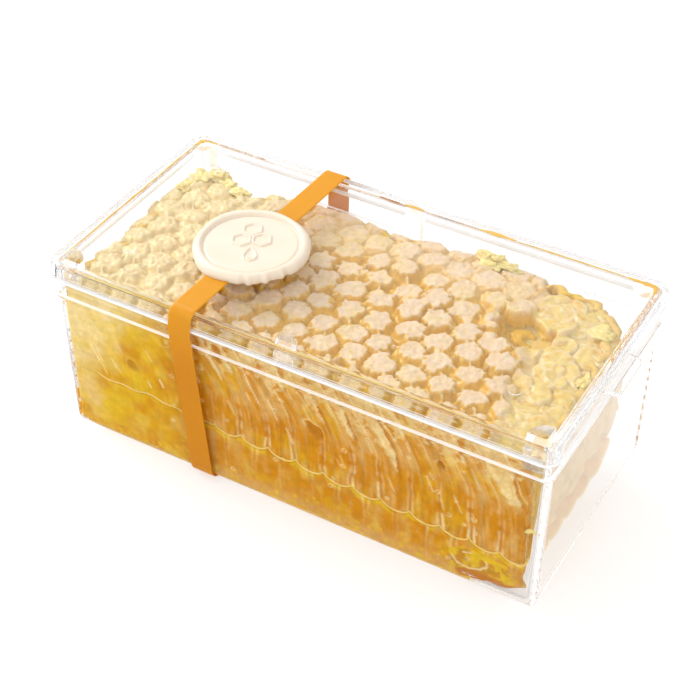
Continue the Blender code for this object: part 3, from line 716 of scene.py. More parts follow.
def cloud_left_end(at, marks):
    """The far left is pale and cloudy, with bare wax at its top corner and at its foot."""
    along, z, front = at.along, at.z, at.front
    rough, coarse, middling, streak = at.rough, at.coarse, at.middling, at.streak
    far_left = front * ramp(along, -20, -34)
    wipe(marks, 0.45 * far_left, "wax", "deep", "line")
    lay(marks, "lemon", far_left * (0.5 + 0.5 * middling + 0.3 * streak))
    lay(marks, "wax", far_left * 0.9 * ramp(z - 1.3 * along + 7 * coarse + 4 * rough, 70, 92))
    lay(marks, "wax", far_left * 0.6 * ramp(coarse + 0.6 * middling + 0.3 * streak, 0.0, 0.6))
    lay(marks, "wax", front * ramp(along, -16, -24) * 0.5 * ramp(streak + 0.6 * middling, 0.25, 0.7))
    pale_corner = far_left * ramp(z - 1.6 * along + 5 * coarse + 3 * rough, 88, 106)
    lay(marks, "line", pale_corner * (0.38 + 0.2 * streak + 0.15 * at.grit))
    pale_foot = ramp(np.hypot((along + 48.5) / 3.5, (z - 9.5) / 5.5) + 0.3 * rough, 1.1, 0.6)
    lay(marks, "wax", far_left * 0.7 * pale_foot)
    yellow_patch = ramp(np.hypot((along + 43) / 3.6, z - 31.2 - 0.4 * (along + 43)), 1.2, 0.7)
    lay(marks, "lemon", yellow_patch * front)


def scratch_front(at, marks):
    """Short light scratches in the upper layer, strongest at the left."""
    dice = np.random.default_rng(14)
    for _ in range(SCRATCHES):
        start = dice.uniform(-49, 46), dice.uniform(19, 34)
        length = dice.uniform(1.2, 4.2)
        strength = dice.uniform(0.3, 0.85) * (1.0 if start[0] < -20 else 0.6)
        end = start[0] + 0.45 * length, start[1] - length
        scratch = stroke(at.along, at.z, [start, end], dice.uniform(0.26, 0.4))
        lay(marks, "line", strength * scratch * at.front)


def break_sides(at, marks):
    """The other sides were broken rather than cut, so their cell walls stand out as ragged ridges."""
    z, front, broken, rough, coarse, middling = at.z, at.front, at.broken, at.rough, at.coarse, at.middling
    ridge = ramp(np.abs(at.across), 0.45, 1.0) * ramp(middling + rough, -0.9, 0.3)
    hollowed = (1 - ridge) * (0.3 + at.own) * ramp(middling, -0.6, 0.4)
    pressed = ramp(at.x, 44, 50)
    torn_depth = 1.0 - 0.9 * pressed * ramp(z, 15, 20) + 0.9 * coarse + 0.5 * middling + 0.5 * rough
    torn_depth = torn_depth + hollowed + 0.35 * at.bumps(5, 0.9, 9) + 0.2 * at.grit
    torn_wax = 0.75 * ramp(ridge + 0.7 * rough + 0.4 * at.grit + 0.4 * at.streak, 0.3, 1.3)
    torn_wax = np.maximum(torn_wax, 0.6 * ramp(middling + 0.5 * coarse + 0.3 * at.grit, 0.1, 0.9))
    on_torn = {
        "depth": np.maximum(torn_depth, 0), "wax": np.maximum(torn_wax, 0.7 * pressed), "line": 0,
        "lemon": (0.25 + 0.55 * ramp(coarse + 0.4 * rough, -0.3, 0.6)) * (1 - 0.6 * pressed),
        "deep": 0.4 * hollowed * ramp(rough, -0.5, 0.5) * (1 - 0.8 * pressed)}
    for mark, values in on_torn.items():
        marks[mark] = marks[mark] * front + broken * values
    top_edge = broken * ramp(z, 33.0, 35.5)
    lay(marks, "wax", 0.75 * top_edge)
    wipe(marks, top_edge, "deep")


def sides(at):
    """Painted marks of a layer's cut and torn sides, and the depth to which they are worn inwards."""
    marks = opened_cells(at)
    if at.upper:
        draw_veils(at, marks)
        hang_torn_wax(at, marks)
    else:
        settle_honey(at, marks)
        add_yellow_lump(at, marks)
    open_bubbles(at, marks)
    cloud_left_end(at, marks)
    if at.upper:
        scratch_front(at, marks)
    depth = np.maximum(marks["depth"] - 0.08 * at.front, 0.22 * at.front * ramp(at.z, 34.2, 34.6))
    corner = ramp(at.along, 47.5, 50.5) * ramp(at.along, 54.5, 52.0)
    depth = depth + corner * (0.25 + 0.5 * at.rough + 0.9 * ramp(at.z, 9, 4) + 0.6 * ramp(at.coarse, 0, 0.6))
    marks["depth"] = np.maximum(depth, -0.12)
    break_sides(at, marks)
    return marks


def shrunk(ring, share, levels):
    ring = ring.copy()
    ring[:, :2] *= share
    ring[:, 2] = levels
    return ring


def comb_layer(name, low, high, rows, upper, material):
    """A layer of cells between two heights given round the outline."""
    z = (low + np.outer(np.linspace(0, 1, rows), high - low)).T
    along = np.repeat(EDGE_ALONG[:, None], rows, 1)
    x = np.repeat(EDGE_LINE[:, :1], rows, 1)
    y = np.repeat(EDGE_LINE[:, 1:], rows, 1)
    marks = sides(side_places(along, x, z, MIDRIB_LINE[:, None], upper))
    right_end = ramp(x, 45, 49) * ramp(y, -23.0, -20)
    depth = marks.pop("depth") + 4.5 * right_end * ramp(z + 2.0 * lattice_noise(y, 0, 0, 5, 21), 19.5, 15.5)
    wall_draft = DRAFT * (42 - z) / 40 * (y < -23)
    points = np.stack([x - EDGE_OUT[:, :1] * depth, y - EDGE_OUT[:, 1:] * depth + wall_draft, z], -1)
    points = points.transpose(1, 0, 2)
    bottom, top = points[0], points[-1]
    if upper:
        lows = [shrunk(bottom, 0.95, MIDRIB_PLANE + 0.3), shrunk(bottom, 0.98, bottom[:, 2])]
        highs = [shrunk(top, 0.97, COMB_TOP - 0.1), shrunk(top, 0.955, COMB_TOP - 3.4)]
    else:
        lows = [shrunk(bottom, 0.93, FLOOR_TOP + 0.25), shrunk(bottom, 0.96, FLOOR_TOP + 0.3)]
        highs = [shrunk(top, 0.98, top[:, 2]), shrunk(top, 0.95, MIDRIB_PLANE - 0.6)]
    for mark, values in marks.items():
        marks[mark] = np.pad(np.clip(values, 0, 1).T, ((2, 2), (0, 0)), "edge")
    return add_piece(name, *skin(np.concatenate([lows, points, highs])), material, marks=marks)


def new_effect(name, colours, numbers, outputs):
    """A shader node group with named colour and number inputs, and its inner nodes, input and output."""
    group = bpy.data.node_groups.new(name, "ShaderNodeTree")
    sockets = [(label, "INPUT", "Color") for label in colours]
    sockets += [(label, "INPUT", "Float") for label in numbers]
    sockets += [(label, "OUTPUT", kind) for label, kind in outputs.items()]
    for label, way, kind in sockets:
        group.interface.new_socket(label, in_out=way, socket_type="NodeSocket" + kind)
    return group, group.nodes.new("NodeGroupInput").outputs, group.nodes.new("NodeGroupOutput")


def comb_marks():
    """Wax and honey together: painted marks say where bare wax, yellow wax, cut edges, and dark honey with
    painted shadow show.
    """
    layers = {"Wax": "wax", "Yellow Wax": "lemon", "Deep Honey": "deep", "Cut Edge": "line"}
    group, given, result = new_effect(
        "comb_marks", ["Honey", "Dark Honey", *layers], ["Wet Gloss"],
        {"Colour": "Color", "Gloss": "Float", "Grain": "Float"})
    colour = tint(group, given["Honey"], given["Dark Honey"], noise(group, 160.0, 3.0))
    shares = {}
    for label, mark in layers.items():
        shares[label] = add_node(group, "Attribute", attribute_name=mark).outputs["Fac"]
        colour = tint(group, colour, given[label], shares[label])
    mottle = span(group, noise(group, 700.0, 3.0), 0.3, 0.7, 0.9, 1.08)
    speckled = add_node(group, "VectorMath", operation="SCALE")
    feed(group, speckled, {0: colour, "Scale": mottle})
    feed(group, result, {
        "Colour": speckled.outputs[0], "Grain": noise(group, 900.0, 4.0),
        "Gloss": span(group, shares["Wax"], 0.0, 1.0, given["Wet Gloss"], 0.5)})
    return group


COMB_MARKS = comb_marks()


def add_effect(tree, group, settings):
    """Puts a node group into a material, with its colours and numbers set."""
    effect = tree.nodes.new("ShaderNodeGroup")
    effect.node_tree = group
    feed(tree, effect, settings)
    return effect.outputs


def comb_material(name, wet, shine, **colours):
    """Wax and honey in a piece's own colours. One with no painted marks needs only its two base tones."""
    material, tree, shader = new_material(name)
    settings = {label.replace("_", " ").title(): colour for label, colour in colours.items()}
    marks = add_effect(tree, COMB_MARKS, {**settings, "Wet Gloss": wet})
    feed(tree, shader, {
        "Base Color": marks["Colour"], "Roughness": marks["Gloss"], "Specular IOR Level": shine,
        "Subsurface Weight": 0.2, "Subsurface Radius": (1.0, 0.45, 0.12), "Subsurface Scale": 0.0015})
    bump(tree, shader, marks["Grain"], 0.4, 0.0004)
    return material


# Its darkest colour serves both dark honey and the painted shadows on the cut face.
cut_comb = comb_material(
    "cut_comb", wet=0.25, shine=0.12, honey=(0.62, 0.26, 0.001), dark_honey=(0.56, 0.205, 0.0),
    wax=(0.80, 0.60, 0.26), yellow_wax=(0.72, 0.46, 0.01), deep_honey=(0.50, 0.16, 0.0),
    cut_edge=(0.92, 0.78, 0.42))
comb_top_line = np.full(len(MIDRIB_LINE), COMB_TOP)
upper_layer = comb_layer("upper_comb_layer", MIDRIB_LINE + 0.35, comb_top_line, UPPER_ROWS, True, cut_comb)
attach(upper_layer, "root")
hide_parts("upper_comb")

uneven = 0.9 * lattice_noise(EDGE_ALONG, 0, 0, 3.0, 12) + 0.5 * lattice_noise(EDGE_ALONG, 0, 0, 1.0, 13)
ragged_foot = FLOOR_TOP + 0.75 + 0.5 * np.maximum(uneven, -0.9) + 1.8 * ramp(EDGE_ALONG, 36, 50)
lower_layer = comb_layer("lower_comb_layer", ragged_foot, MIDRIB_LINE - 0.3, LOWER_ROWS, False, cut_comb)
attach(lower_layer, "root")
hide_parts("lower_comb")


# Midrib ----------------------------------------------------------------------------------------------
# The thin sheet of wax that both layers of cells are built on. At the cut face its edge shows as a
# pale scalloped line, one round cell bottom after another.
SHEET_SECTION = [(-0.32, -0.4), (-0.18, 0.0), (0.0, 0.05), (0.18, 0.0), (0.36, -0.4)]  # lift, reach outwards
FRONT_SET_BACK = 0.32
TORN_SET_BACK = 0.9


def midrib_sheet():
    rows = []
    for lift, out in SHEET_SECTION:
        reach = out - ~EDGE_FRONT * TORN_SET_BACK
        x = EDGE_LINE[:, 0] + EDGE_OUT[:, 0] * reach
        y = EDGE_LINE[:, 1] + EDGE_OUT[:, 1] * reach + FRONT_SET_BACK * EDGE_FRONT
        rows.append(np.stack([x, y, MIDRIB_LINE + lift], -1))
    low, high = rows[0], rows[-1]
    lows = [shrunk(low, 0.95, MIDRIB_PLANE - 0.3), shrunk(low, 0.98, low[:, 2])]
    highs = [shrunk(high, 0.98, high[:, 2]), shrunk(high, 0.95, MIDRIB_PLANE + 0.3)]
    return skin(lows + rows + highs)


pale_wax = comb_material(
    "pale_wax", wet=0.2, shine=0.3, honey=(0.92, 0.66, 0.22), dark_honey=(0.84, 0.50, 0.08))
midrib = add_piece("midrib_sheet", *midrib_sheet(), pale_wax)
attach(midrib, "root")
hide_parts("midrib")


# Cappings --------------------------------------------------------------------------------------------
# The bees' thin lids of pale wax over every cell: flat crowns with torn corners, dark wet honey in the
# gaps between them. They are ragged at the left and the back, and torn into flakes at the right end.
CAP_LEFT = -52.2
CAP_RIGHT = 51.4
CAP_FRONT = -24.4
CAP_GRID = (400, 186)
CAP_FOOT = 36.4
FLAKES = 110
BACK_EDGE = np.array(COMB_OUTLINE[5:18][::-1])


def cell_axes():
    dice = np.random.default_rng(5)
    places = []
    for row in range(10):
        for column in range(-9, 10):
            x = column * CELL + CELL / 2 * (row % 2) - 0.6 + dice.uniform(-0.5, 0.5)
            y = -22.65 + row * ROW + dice.uniform(-0.45, 0.45)
            places.append((x, y))
    return np.array(places)


def crown_share(x, y):
    """How far each place is from its cell's middle: 0 there, 1 on the edge of its ragged crown."""
    axes = cell_axes()
    dice = np.random.default_rng(8)
    own = dice.uniform(0.92, 1.1, (len(axes), 1))
    flats = own * dice.uniform(2.2, 2.85, (len(axes), 6))
    corners = own * dice.uniform(2.45, 3.3, (len(axes), 6))
    skew = dice.uniform(-0.2, 0.2, len(axes))
    lift = dice.uniform(-1, 1, len(axes))
    nearest = np.zeros(x.shape, int)
    best = np.full(x.shape, 1e9)
    for i, (cx, cy) in enumerate(axes):
        close = (np.abs(x - cx) < 5) & (np.abs(y - cy) < 5)
        distance = np.hypot(x[close] - cx, y[close] - cy)
        better = distance < best[close]
        spots = np.flatnonzero(close)[better]
        best.ravel()[spots] = distance[better]
        nearest.ravel()[spots] = i
    dx = x - axes[nearest, 0]
    dy = y - axes[nearest, 1]
    turn = (np.arctan2(dy, dx) / (2 * math.pi) + skew[nearest] / 6 - 1 / 12) % 1.0 * 6
    side = np.floor(turn).astype(int) % 6
    part = turn - np.floor(turn)
    nearer_corner = np.where(part < 0.5, corners[nearest, side], corners[nearest, (side + 1) % 6])
    bulge = 1 - np.abs(2 * part - 1) ** 1.1
    share = np.hypot(dx, dy) / (nearer_corner * (1 - bulge) + flats[nearest, side] * bulge)
    # Here and there two crowns have run together.
    for i, (cx, cy) in enumerate(axes):
        for dx, dy in ((CELL, 0), (CELL / 2, ROW), (-CELL / 2, ROW)):
            chance = dice.uniform()
            if chance > 0.55:
                continue
            far = np.argmin(np.hypot(axes[:, 0] - cx - dx, axes[:, 1] - cy - dy))
            width = dice.uniform(0.7, 1.7) if chance < 0.2 else dice.uniform(0.22, 0.4)
            close = (np.abs(x - cx - dx / 2) < 5) & (np.abs(y - cy - dy / 2) < 5)
            bridge = stroke(x[close], y[close], [axes[i], axes[far]], width * 1.5)
            share[close] = np.minimum(share[close], 1.5 - 0.6 * bridge)
    return share, lift[nearest]


def petals(x, y, small, fine):
    """Overlapping round flakes of torn wax at the right end: their height, and where their rims run."""
    dice = np.random.default_rng(12)
    height = np.full(x.shape, 36.7)
    rims = np.zeros(x.shape)
    for _ in range(FLAKES):
        centre = dice.uniform(34, 52), dice.uniform(-25, 20)
        radius = dice.uniform(1.4, 3.6)
        turn = dice.uniform(0, 2 * math.pi)
        rise = dice.uniform(0.05, 0.35)
        dx, dy = x - centre[0], y - centre[1]
        reach = np.hypot(dx, dy) / radius + 0.10 * small + 0.04 * fine
        level = dice.uniform(37.7, 38.5) + rise * (dx * math.cos(turn) + dy * math.sin(turn))
        level = level - 0.15 * reach ** 2 - 1.8 * ramp(reach, 0.95, 1.2)
        over = level > height
        height = np.where(over, level, height)
        rims = np.where(over, ramp(reach, 0.72, 0.92), rims)
    return height, rims


def cappings_sheet(columns, rows):
    u = np.linspace(0, 1, columns)
    v = np.linspace(0, 1, rows)
    across = CAP_LEFT + u * (CAP_RIGHT - CAP_LEFT)
    back = np.interp(across, BACK_EDGE[:, 0], BACK_EDGE[:, 1])
    x = np.repeat(across[:, None], rows, 1)
    y = CAP_FRONT + np.outer(back - CAP_FRONT, v)
    edge = np.minimum(np.minimum(u, 1 - u)[:, None] * 100, np.minimum(v, 1 - v)[None, :] * 46)
    near_edge = np.exp(-edge / 2.0)
    x = x + near_edge * 1.1 * lattice_noise(x, y, 0, 2.6, 31) * (np.abs(2 * u - 1) > 0.5)[:, None]
    y = y + near_edge * 1.3 * lattice_noise(x, y, 0, 2.6, 32) * (v > 0.5)[None, :]

    def bumps(size, seed):
        return lattice_noise(x, y, 0, size, seed)

    warp_x = 0.5 * bumps(3.0, 33) + 0.3 * bumps(1.1, 34)
    warp_y = 0.5 * bumps(3.0, 35) + 0.3 * bumps(1.1, 36)
    share, lift = crown_share(x + warp_x, y + warp_y)
    fine, small, broad, tips = bumps(0.6, 37), bumps(1.5, 38), bumps(6.0, 39), bumps(0.35, 43)
    jagged = share + 0.18 * fine + 0.06 * small
    crown = ramp(jagged, 1.12, 0.92)
    shoulder = ramp(share + 0.05 * fine, 1.5, 1.0)
    left = ramp(x, -22, -36)
    torn_end = ramp(x + 0.25 * y + 3 * small, 35, 39)
    flat_back = ramp(y + 2 * broad, 5, 16) * (1 - torn_end)
    height = 37.5 + 0.75 * shoulder + 0.85 * crown + 0.4 * lift * crown + 0.14 * fine + 0.12 * small
    height = height + 0.06 * tips + flat_back * 0.7 * (1 - crown)
    flakes, rims = petals(x, y, small, fine)
    height = height * (1 - torn_end) + (flakes + 0.08 * fine + 0.12 * small + 0.04 * tips) * torn_end
    soft = 38.2 + 0.8 * ramp(jagged, 1.25, 0.7) + 0.4 * broad + 0.4 * small + 0.3 * fine + 0.08 * tips
    height = height * (1 - 0.6 * left) + soft * 0.6 * left
    hollow = ramp(np.hypot((x - 34) / 6.0, (y - 5.3) / 5.0) + 0.25 * small, 1.05, 0.8)
    height = np.clip(height - 2.2 * hollow, 34.5, 41.2)
    height = height - 1.2 * near_edge * (1 - ramp(y, -22, -23.5))

    ordered = (1 - torn_end) * (1 - left)
    speck = ramp(bumps(0.9, 42) + 0.35 * broad, 0.70, 0.85)
    wet_spot = torn_end * ramp(broad + 0.6 * small, 0.25, 0.75)
    gap = ramp(jagged, 0.93, 1.02) * (1 - 0.75 * flat_back) * ordered
    wax = ramp(jagged, 1.0, 0.90) * (0.84 + 0.14 * small + 0.12 * fine + 0.12 * tips)
    wax = np.maximum(wax, flat_back * 0.75 * (0.8 + 0.4 * small))
    wax = np.maximum(wax, 0.22 * shoulder * ramp(small + broad, 0.0, 0.7))
    wax = wax * ordered + torn_end * (0.32 + 0.3 * small + 0.2 * fine) + left * (0.3 + 0.3 * crown)
    lemon = 0.6 * left * (0.5 + 0.5 * small) + 0.85 * torn_end * ramp(small + 0.6 * broad - rims, -0.9, 0.1)
    lemon = np.maximum(np.maximum(lemon, speck), 0.35 * ramp(broad + 0.5 * small, 0.2, 0.6))
    lemon = np.maximum(lemon, 0.45 * ramp(y, -19, -24) * ramp(small, -0.2, 0.5))
    line = 0.7 * left * (0.75 + 0.25 * small + 0.2 * fine) + torn_end * (0.2 + 0.42 * rims + 0.2 * fine)
    deep = 0.8 * gap * (0.85 + 0.3 * small) + 0.85 * torn_end * ramp(height, 37.8, 37.2) + 0.45 * wet_spot
    marks = {
        "wax": wax * (1 - 0.75 * speck) * (1 - hollow),
        "lemon": lemon * (1 - 0.7 * gap) * (1 - hollow),
        "deep": np.maximum(deep, 0.95 * hollow),
        "line": line * (1 - hollow) * (1 - speck) * (1 - 0.5 * wet_spot),
    }
    return np.stack([x, y, height], -1), marks


def closed_sheet(top, skirt_z, inset):
    """Closes a grid of heights with a skirt drawn in a little and a flat underside."""
    columns, rows = top.shape[:2]
    index = np.arange(columns * rows).reshape(columns, rows)
    quads = np.stack([index[:-1, :-1], index[1:, :-1], index[1:, 1:], index[:-1, 1:]], -1).reshape(-1, 4)
    rim = np.concatenate([index[:-1, 0], index[-1, :-1], index[:0:-1, -1], index[0, :0:-1]])
    points = top.reshape(-1, 3)
    skirt = points[rim].copy()
    middle = skirt[:, :2].mean(0)
    skirt[:, :2] = middle + (skirt[:, :2] - middle) * inset
    skirt[:, 2] = skirt_z
    below = len(points) + np.arange(len(rim))
    sides = np.stack([np.roll(rim, -1), rim, below, np.roll(below, -1)], -1)
    return np.concatenate([points, skirt]), quads.tolist() + sides.tolist() + [below[::-1].tolist()], rim


capped = comb_material(
    "capped_comb", wet=0.25, shine=0.35, honey=(0.74, 0.45, 0.05), dark_honey=(0.67, 0.37, 0.02),
    wax=(0.76, 0.58, 0.40), yellow_wax=(0.74, 0.53, 0.12), deep_honey=(0.70, 0.385, 0.01),
    cut_edge=(0.81, 0.68, 0.38))
cap_top, cap_marks = cappings_sheet(*CAP_GRID)
cap_points, cap_faces, cap_rim = closed_sheet(cap_top, CAP_FOOT, 0.985)
cap_paint = {}
for mark, values in cap_marks.items():
    values = np.clip(values, 0, 1).ravel()
    cap_paint[mark] = np.concatenate([values, values[cap_rim]])
cappings = add_piece("cappings", cap_points, cap_faces, capped, marks=cap_paint)
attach(cappings, "root")
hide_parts("upper_comb")


# Pooled honey ----------------------------------------------------------------------------------------
# Clear honey that has run out of the cut cells and settled in the left of the tray. It wets the walls
# around it and lies between them and the comb, held by its own stickiness.
POOL_CENTRE = (-39.6, -12.75)
POOL_HALF = (12.2, 11.8)
# inset from the pool's edge, and height
POOL_SECTION = [
    (1.2, FLOOR_TOP - 0.08), (0.3, FLOOR_TOP + 0.05), (0.0, 2.6), (0.1, 3.6), (0.5, 3.9), (1.4, 3.75),
    (4.0, 3.7),
]


def pool_rings():
    rings = []
    for inset, z in POOL_SECTION:
        ring = []
        for x, y in arc((0, 0), 1, 0, 357, 119):
            squared = max(abs(x), abs(y)) ** 0.86
            wave = 0.25 * math.sin(5 * math.atan2(y, x)) * (x > -0.5)
            ring.append((POOL_CENTRE[0] + (POOL_HALF[0] - inset + wave) * x / squared,
                         POOL_CENTRE[1] + (POOL_HALF[1] - inset) * y / squared, z))
        rings.append(ring)
    return rings


def cloudy_tone():
    """Two tones that drift into each other in soft clouds."""
    group, given, result = new_effect(
        "cloudy_tone", ["Light", "Dark"], ["Scale"], {"Colour": "Color", "Cloud": "Float"})
    cloud = noise(group, given["Scale"], 3.0)
    feed(group, result, {"Colour": tint(group, given["Light"], given["Dark"], cloud), "Cloud": cloud})
    return group


CLOUDY_TONE = cloudy_tone()


def honey_material():
    """Clear runny honey, amber and very glossy."""
    material, tree, shader = new_material("honey")
    tone = add_effect(tree, CLOUDY_TONE, {
        "Light": (0.80, 0.48, 0.05), "Dark": (0.70, 0.30, 0.01), "Scale": 120.0})
    feed(tree, shader, {
        "Base Color": tone["Colour"], "Roughness": 0.08, "Coat Weight": 0.4, "Subsurface Weight": 0.4,
        "Subsurface Radius": (1.0, 0.5, 0.1), "Subsurface Scale": 0.003})
    return material


honey = honey_material()
pool = turned(*skin(pool_rings()), "pooled_honey", honey)
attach(pool, "root")
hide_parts("honey_pool")


# Smears and shreds -----------------------------------------------------------------------------------
# Honey squeezed thinly between the rims of tray and lid and along the foot of the cut face, and loose
# crumbs and shreds of yellow wax that stand up at the comb's torn edges.
SEAM = 42.65
LEFT_SEAM = -(BOX_LENGTH / 2 - 2.1)
RIGHT_SEAM = BOX_LENGTH / 2 - 2.1
BACK_SEAM = BOX_WIDTH / 2 - 2.1


def strip(path, width, thickness, seed, up=(0, 0, 1)):
    """A tapering strip along a path, with wavering edges: its points and faces."""
    path = np.array(path, float)
    lengths = np.concatenate([[0], np.cumsum(np.linalg.norm(np.diff(path, axis=0), axis=1))])
    count = max(int(lengths[-1] / 0.35), 6)
    spots = np.linspace(0, lengths[-1], count + 1)
    middle = np.stack([np.interp(spots, lengths, path[:, i]) for i in range(3)], 1)
    ahead = np.gradient(middle, axis=0)
    ahead /= np.linalg.norm(ahead, axis=1)[:, None]
    side = np.cross(ahead, up)
    side /= np.linalg.norm(side, axis=1)[:, None]
    above = np.cross(side, ahead)
    taper = np.sqrt(np.sin(np.pi * np.clip(np.linspace(0, 1, count + 1), 0.02, 0.98)))
    half = width / 2 * taper * (0.75 + 0.45 * lattice_noise(spots, 0, 0, 2.2, seed))
    wander = width * 0.3 * lattice_noise(spots, 5, 0, 3.5, seed + 1)
    rings = []
    for angle in np.linspace(0, 2 * math.pi, 10, endpoint=False):
        edge = 1 + 0.5 * lattice_noise(spots, 9 * math.cos(angle), 0, 1.0, seed + 2) * abs(math.cos(angle))
        out = (half * edge * math.cos(angle) + wander)[:, None]
        rise = (thickness / 2 * (0.5 + 0.5 * taper) * math.sin(angle))[:, None]
        rings.append(middle + side * out + above * rise)
    return skin(np.stack(rings, 1))


def crumb(centre, radii, seed):
    """A ragged lump of wax: its points and faces."""
    rings = []
    turn = np.linspace(0, 2 * math.pi, 30, endpoint=False)
    for polar in np.linspace(0.08, math.pi - 0.08, 20):
        level = np.full(30, np.cos(polar))
        way = np.stack([np.sin(polar) * np.cos(turn), np.sin(polar) * np.sin(turn), level], -1)
        lumps = lattice_noise(*(1.6 * way + seed).T, 1.0, seed)
        lumps = lumps + 0.8 * lattice_noise(*(4 * way + seed).T, 1.0, seed + 1)
        rings.append(np.array(centre) + way * np.array(radii) * (1 + 0.5 * lumps)[:, None])
    return skin(rings)


def strips(name, material, parts, crumbs=()):
    """One piece made of several strips and crumbs."""
    bodies = [strip(*part[:3], 60 + 3 * seed, *part[3:]) for seed, part in enumerate(parts)]
    bodies += [crumb(*part, 90 + 2 * seed) for seed, part in enumerate(crumbs)]
    points, faces = np.zeros((0, 3)), []
    for more_points, more_faces in bodies:
        faces += [[i + len(points) for i in face] for face in more_faces]
        points = np.concatenate([points, more_points])
    return turned(points, faces, name, material)


smears = strips("honey_smears", honey, [
    ([(LEFT_SEAM, -23.0, SEAM), (LEFT_SEAM, 23.5, SEAM)], 0.45, 0.36),
    ([(LEFT_SEAM, 22.0, SEAM), (LEFT_SEAM + 0.8, BACK_SEAM - 0.8, SEAM),
      (LEFT_SEAM + 4.0, BACK_SEAM, SEAM)], 1.2, 0.42),
    ([(-3.0, BACK_SEAM, SEAM), (1.5, BACK_SEAM, SEAM)], 1.3, 0.42),
    ([(14.5, BACK_SEAM, SEAM), (22.5, BACK_SEAM, SEAM)], 1.1, 0.42),
    ([(24.0, BACK_SEAM, SEAM), (46.0, BACK_SEAM, SEAM)], 0.22, 0.3),
    ([(46.5, BACK_SEAM, SEAM), (RIGHT_SEAM - 0.8, BACK_SEAM - 0.6, SEAM),
      (RIGHT_SEAM, BACK_SEAM - 3.5, SEAM)], 1.3, 0.42),
    ([(RIGHT_SEAM, -20.0, SEAM), (RIGHT_SEAM, 16.0, SEAM)], 0.26, 0.3),
    ([(-50.0, -BACK_SEAM, SEAM), (47.0, -BACK_SEAM, SEAM)], 0.14, 0.2),
    ([(-51.5, -24.1, 1.7), (-20.0, -24.2, 1.6), (10.0, -24.2, 1.55), (40.0, -24.1, 1.6)], 1.3, 1.1),
])
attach(smears, "root")

yellow_wax = comb_material(
    "yellow_wax", wet=0.35, shine=0.3, honey=(0.88, 0.74, 0.34), dark_honey=(0.82, 0.60, 0.16))
corner_shred = ([(50.4, -24.3, 19.4), (51.4, -24.4, 20.6), (52.6, -24.3, 20.2)], 1.1, 0.3, (0, 1, 0))
shreds = strips("wax_shreds", yellow_wax, [corner_shred], crumbs=[
    ((17.8, 22.2, 39.2), (2.2, 1.0, 0.9)), ((20.4, 22.5, 39.4), (1.5, 0.9, 0.9)),
    ((22.6, 22.0, 38.8), (2.0, 1.1, 0.7)), ((19.8, 21.0, 38.7), (2.4, 1.4, 0.6)),
    ((24.4, 21.6, 38.3), (1.4, 1.0, 0.6)), ((-48.4, 17.6, 38.8), (2.6, 2.2, 1.0)),
    ((-45.4, 19.6, 39.0), (2.2, 1.6, 1.0)), ((-50.0, 13.4, 38.5), (1.5, 2.2, 0.8)),
    ((-42.2, 18.2, 38.6), (2.2, 1.5, 0.7)), ((-38.4, 17.0, 38.5), (2.0, 1.4, 0.6)),
    ((47.6, 12.4, 38.1), (2.2, 1.8, 0.6)), ((50.2, -2.0, 38.0), (1.1, 2.2, 0.6)),
])
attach(shreds, "root")


# Ribbon ----------------------------------------------------------------------------------------------
# A woven satin ribbon, amber, wrapped once round the shut pack and drawn tight, so that it takes the
# shape of the lid's edge, the skirt and the tray's foot. Its ends meet under the seal.
RIBBON_WIDTH = 5.1
RIBBON_THICK = 0.25
SELVEDGE = 0.06
BACK_X, FRONT_TOP_X, FRONT_SKIRT_X, FRONT_FOOT_X, BACK_FOOT_X = -20.0, -22.0, -23.0, -21.3, -20.3


def ribbon_stations():
    """The ribbon's inner side, from the back of the lid forwards and round under the tray."""
    edge_y = BOX_WIDTH / 2 - LID_EDGE
    edge_z = BOX_HEIGHT - LID_EDGE
    reach = LID_EDGE + SEAT_GAP
    foot_y = BOX_WIDTH / 2 - STEP_OUTER - DRAFT - FOOT_RADIUS
    foot = FOOT_RADIUS + SEAT_GAP
    side_y = BOX_WIDTH / 2 + SEAT_GAP
    lean = math.degrees(math.atan2(side_y - foot_y - foot, SKIRT_BOTTOM - FOOT_RADIUS))
    turns = [
        (edge_y, edge_z, reach, 0, 90, BACK_X, BACK_X),
        (-edge_y, edge_z, reach, 90, 180, FRONT_TOP_X, FRONT_TOP_X - 0.5),
        (-side_y + 0.01, SKIRT_BOTTOM, 0.01, 180, 180 + lean, FRONT_SKIRT_X, FRONT_SKIRT_X),
        (-foot_y, FOOT_RADIUS, foot, 180 + lean, 270, FRONT_FOOT_X, FRONT_FOOT_X),
        (foot_y, FOOT_RADIUS, foot, 270, 360 - lean, BACK_FOOT_X, BACK_FOOT_X),
        (side_y - 0.01, SKIRT_BOTTOM, 0.01, 360 - lean, 360, BACK_X, BACK_X),
    ]
    stations = []
    for y, z, radius, start, end, x_start, x_end in turns:
        steps = 10 if radius > 1 else 2
        for i in range(steps + 1):
            angle = math.radians(start + (end - start) * i / steps)
            x = x_start + (x_end - x_start) * i / steps
            stations.append((x, y + radius * math.cos(angle), z + radius * math.sin(angle), angle))
    stations = np.array(stations)
    along = np.concatenate([[0], np.cumsum(np.linalg.norm(np.diff(stations[:, 1:3], axis=0), axis=1))])
    fine = np.unique(np.concatenate([np.arange(0, along[-1], 1.0), along]))
    return np.stack([np.interp(fine, along, stations[:, i]) for i in range(4)], 1)


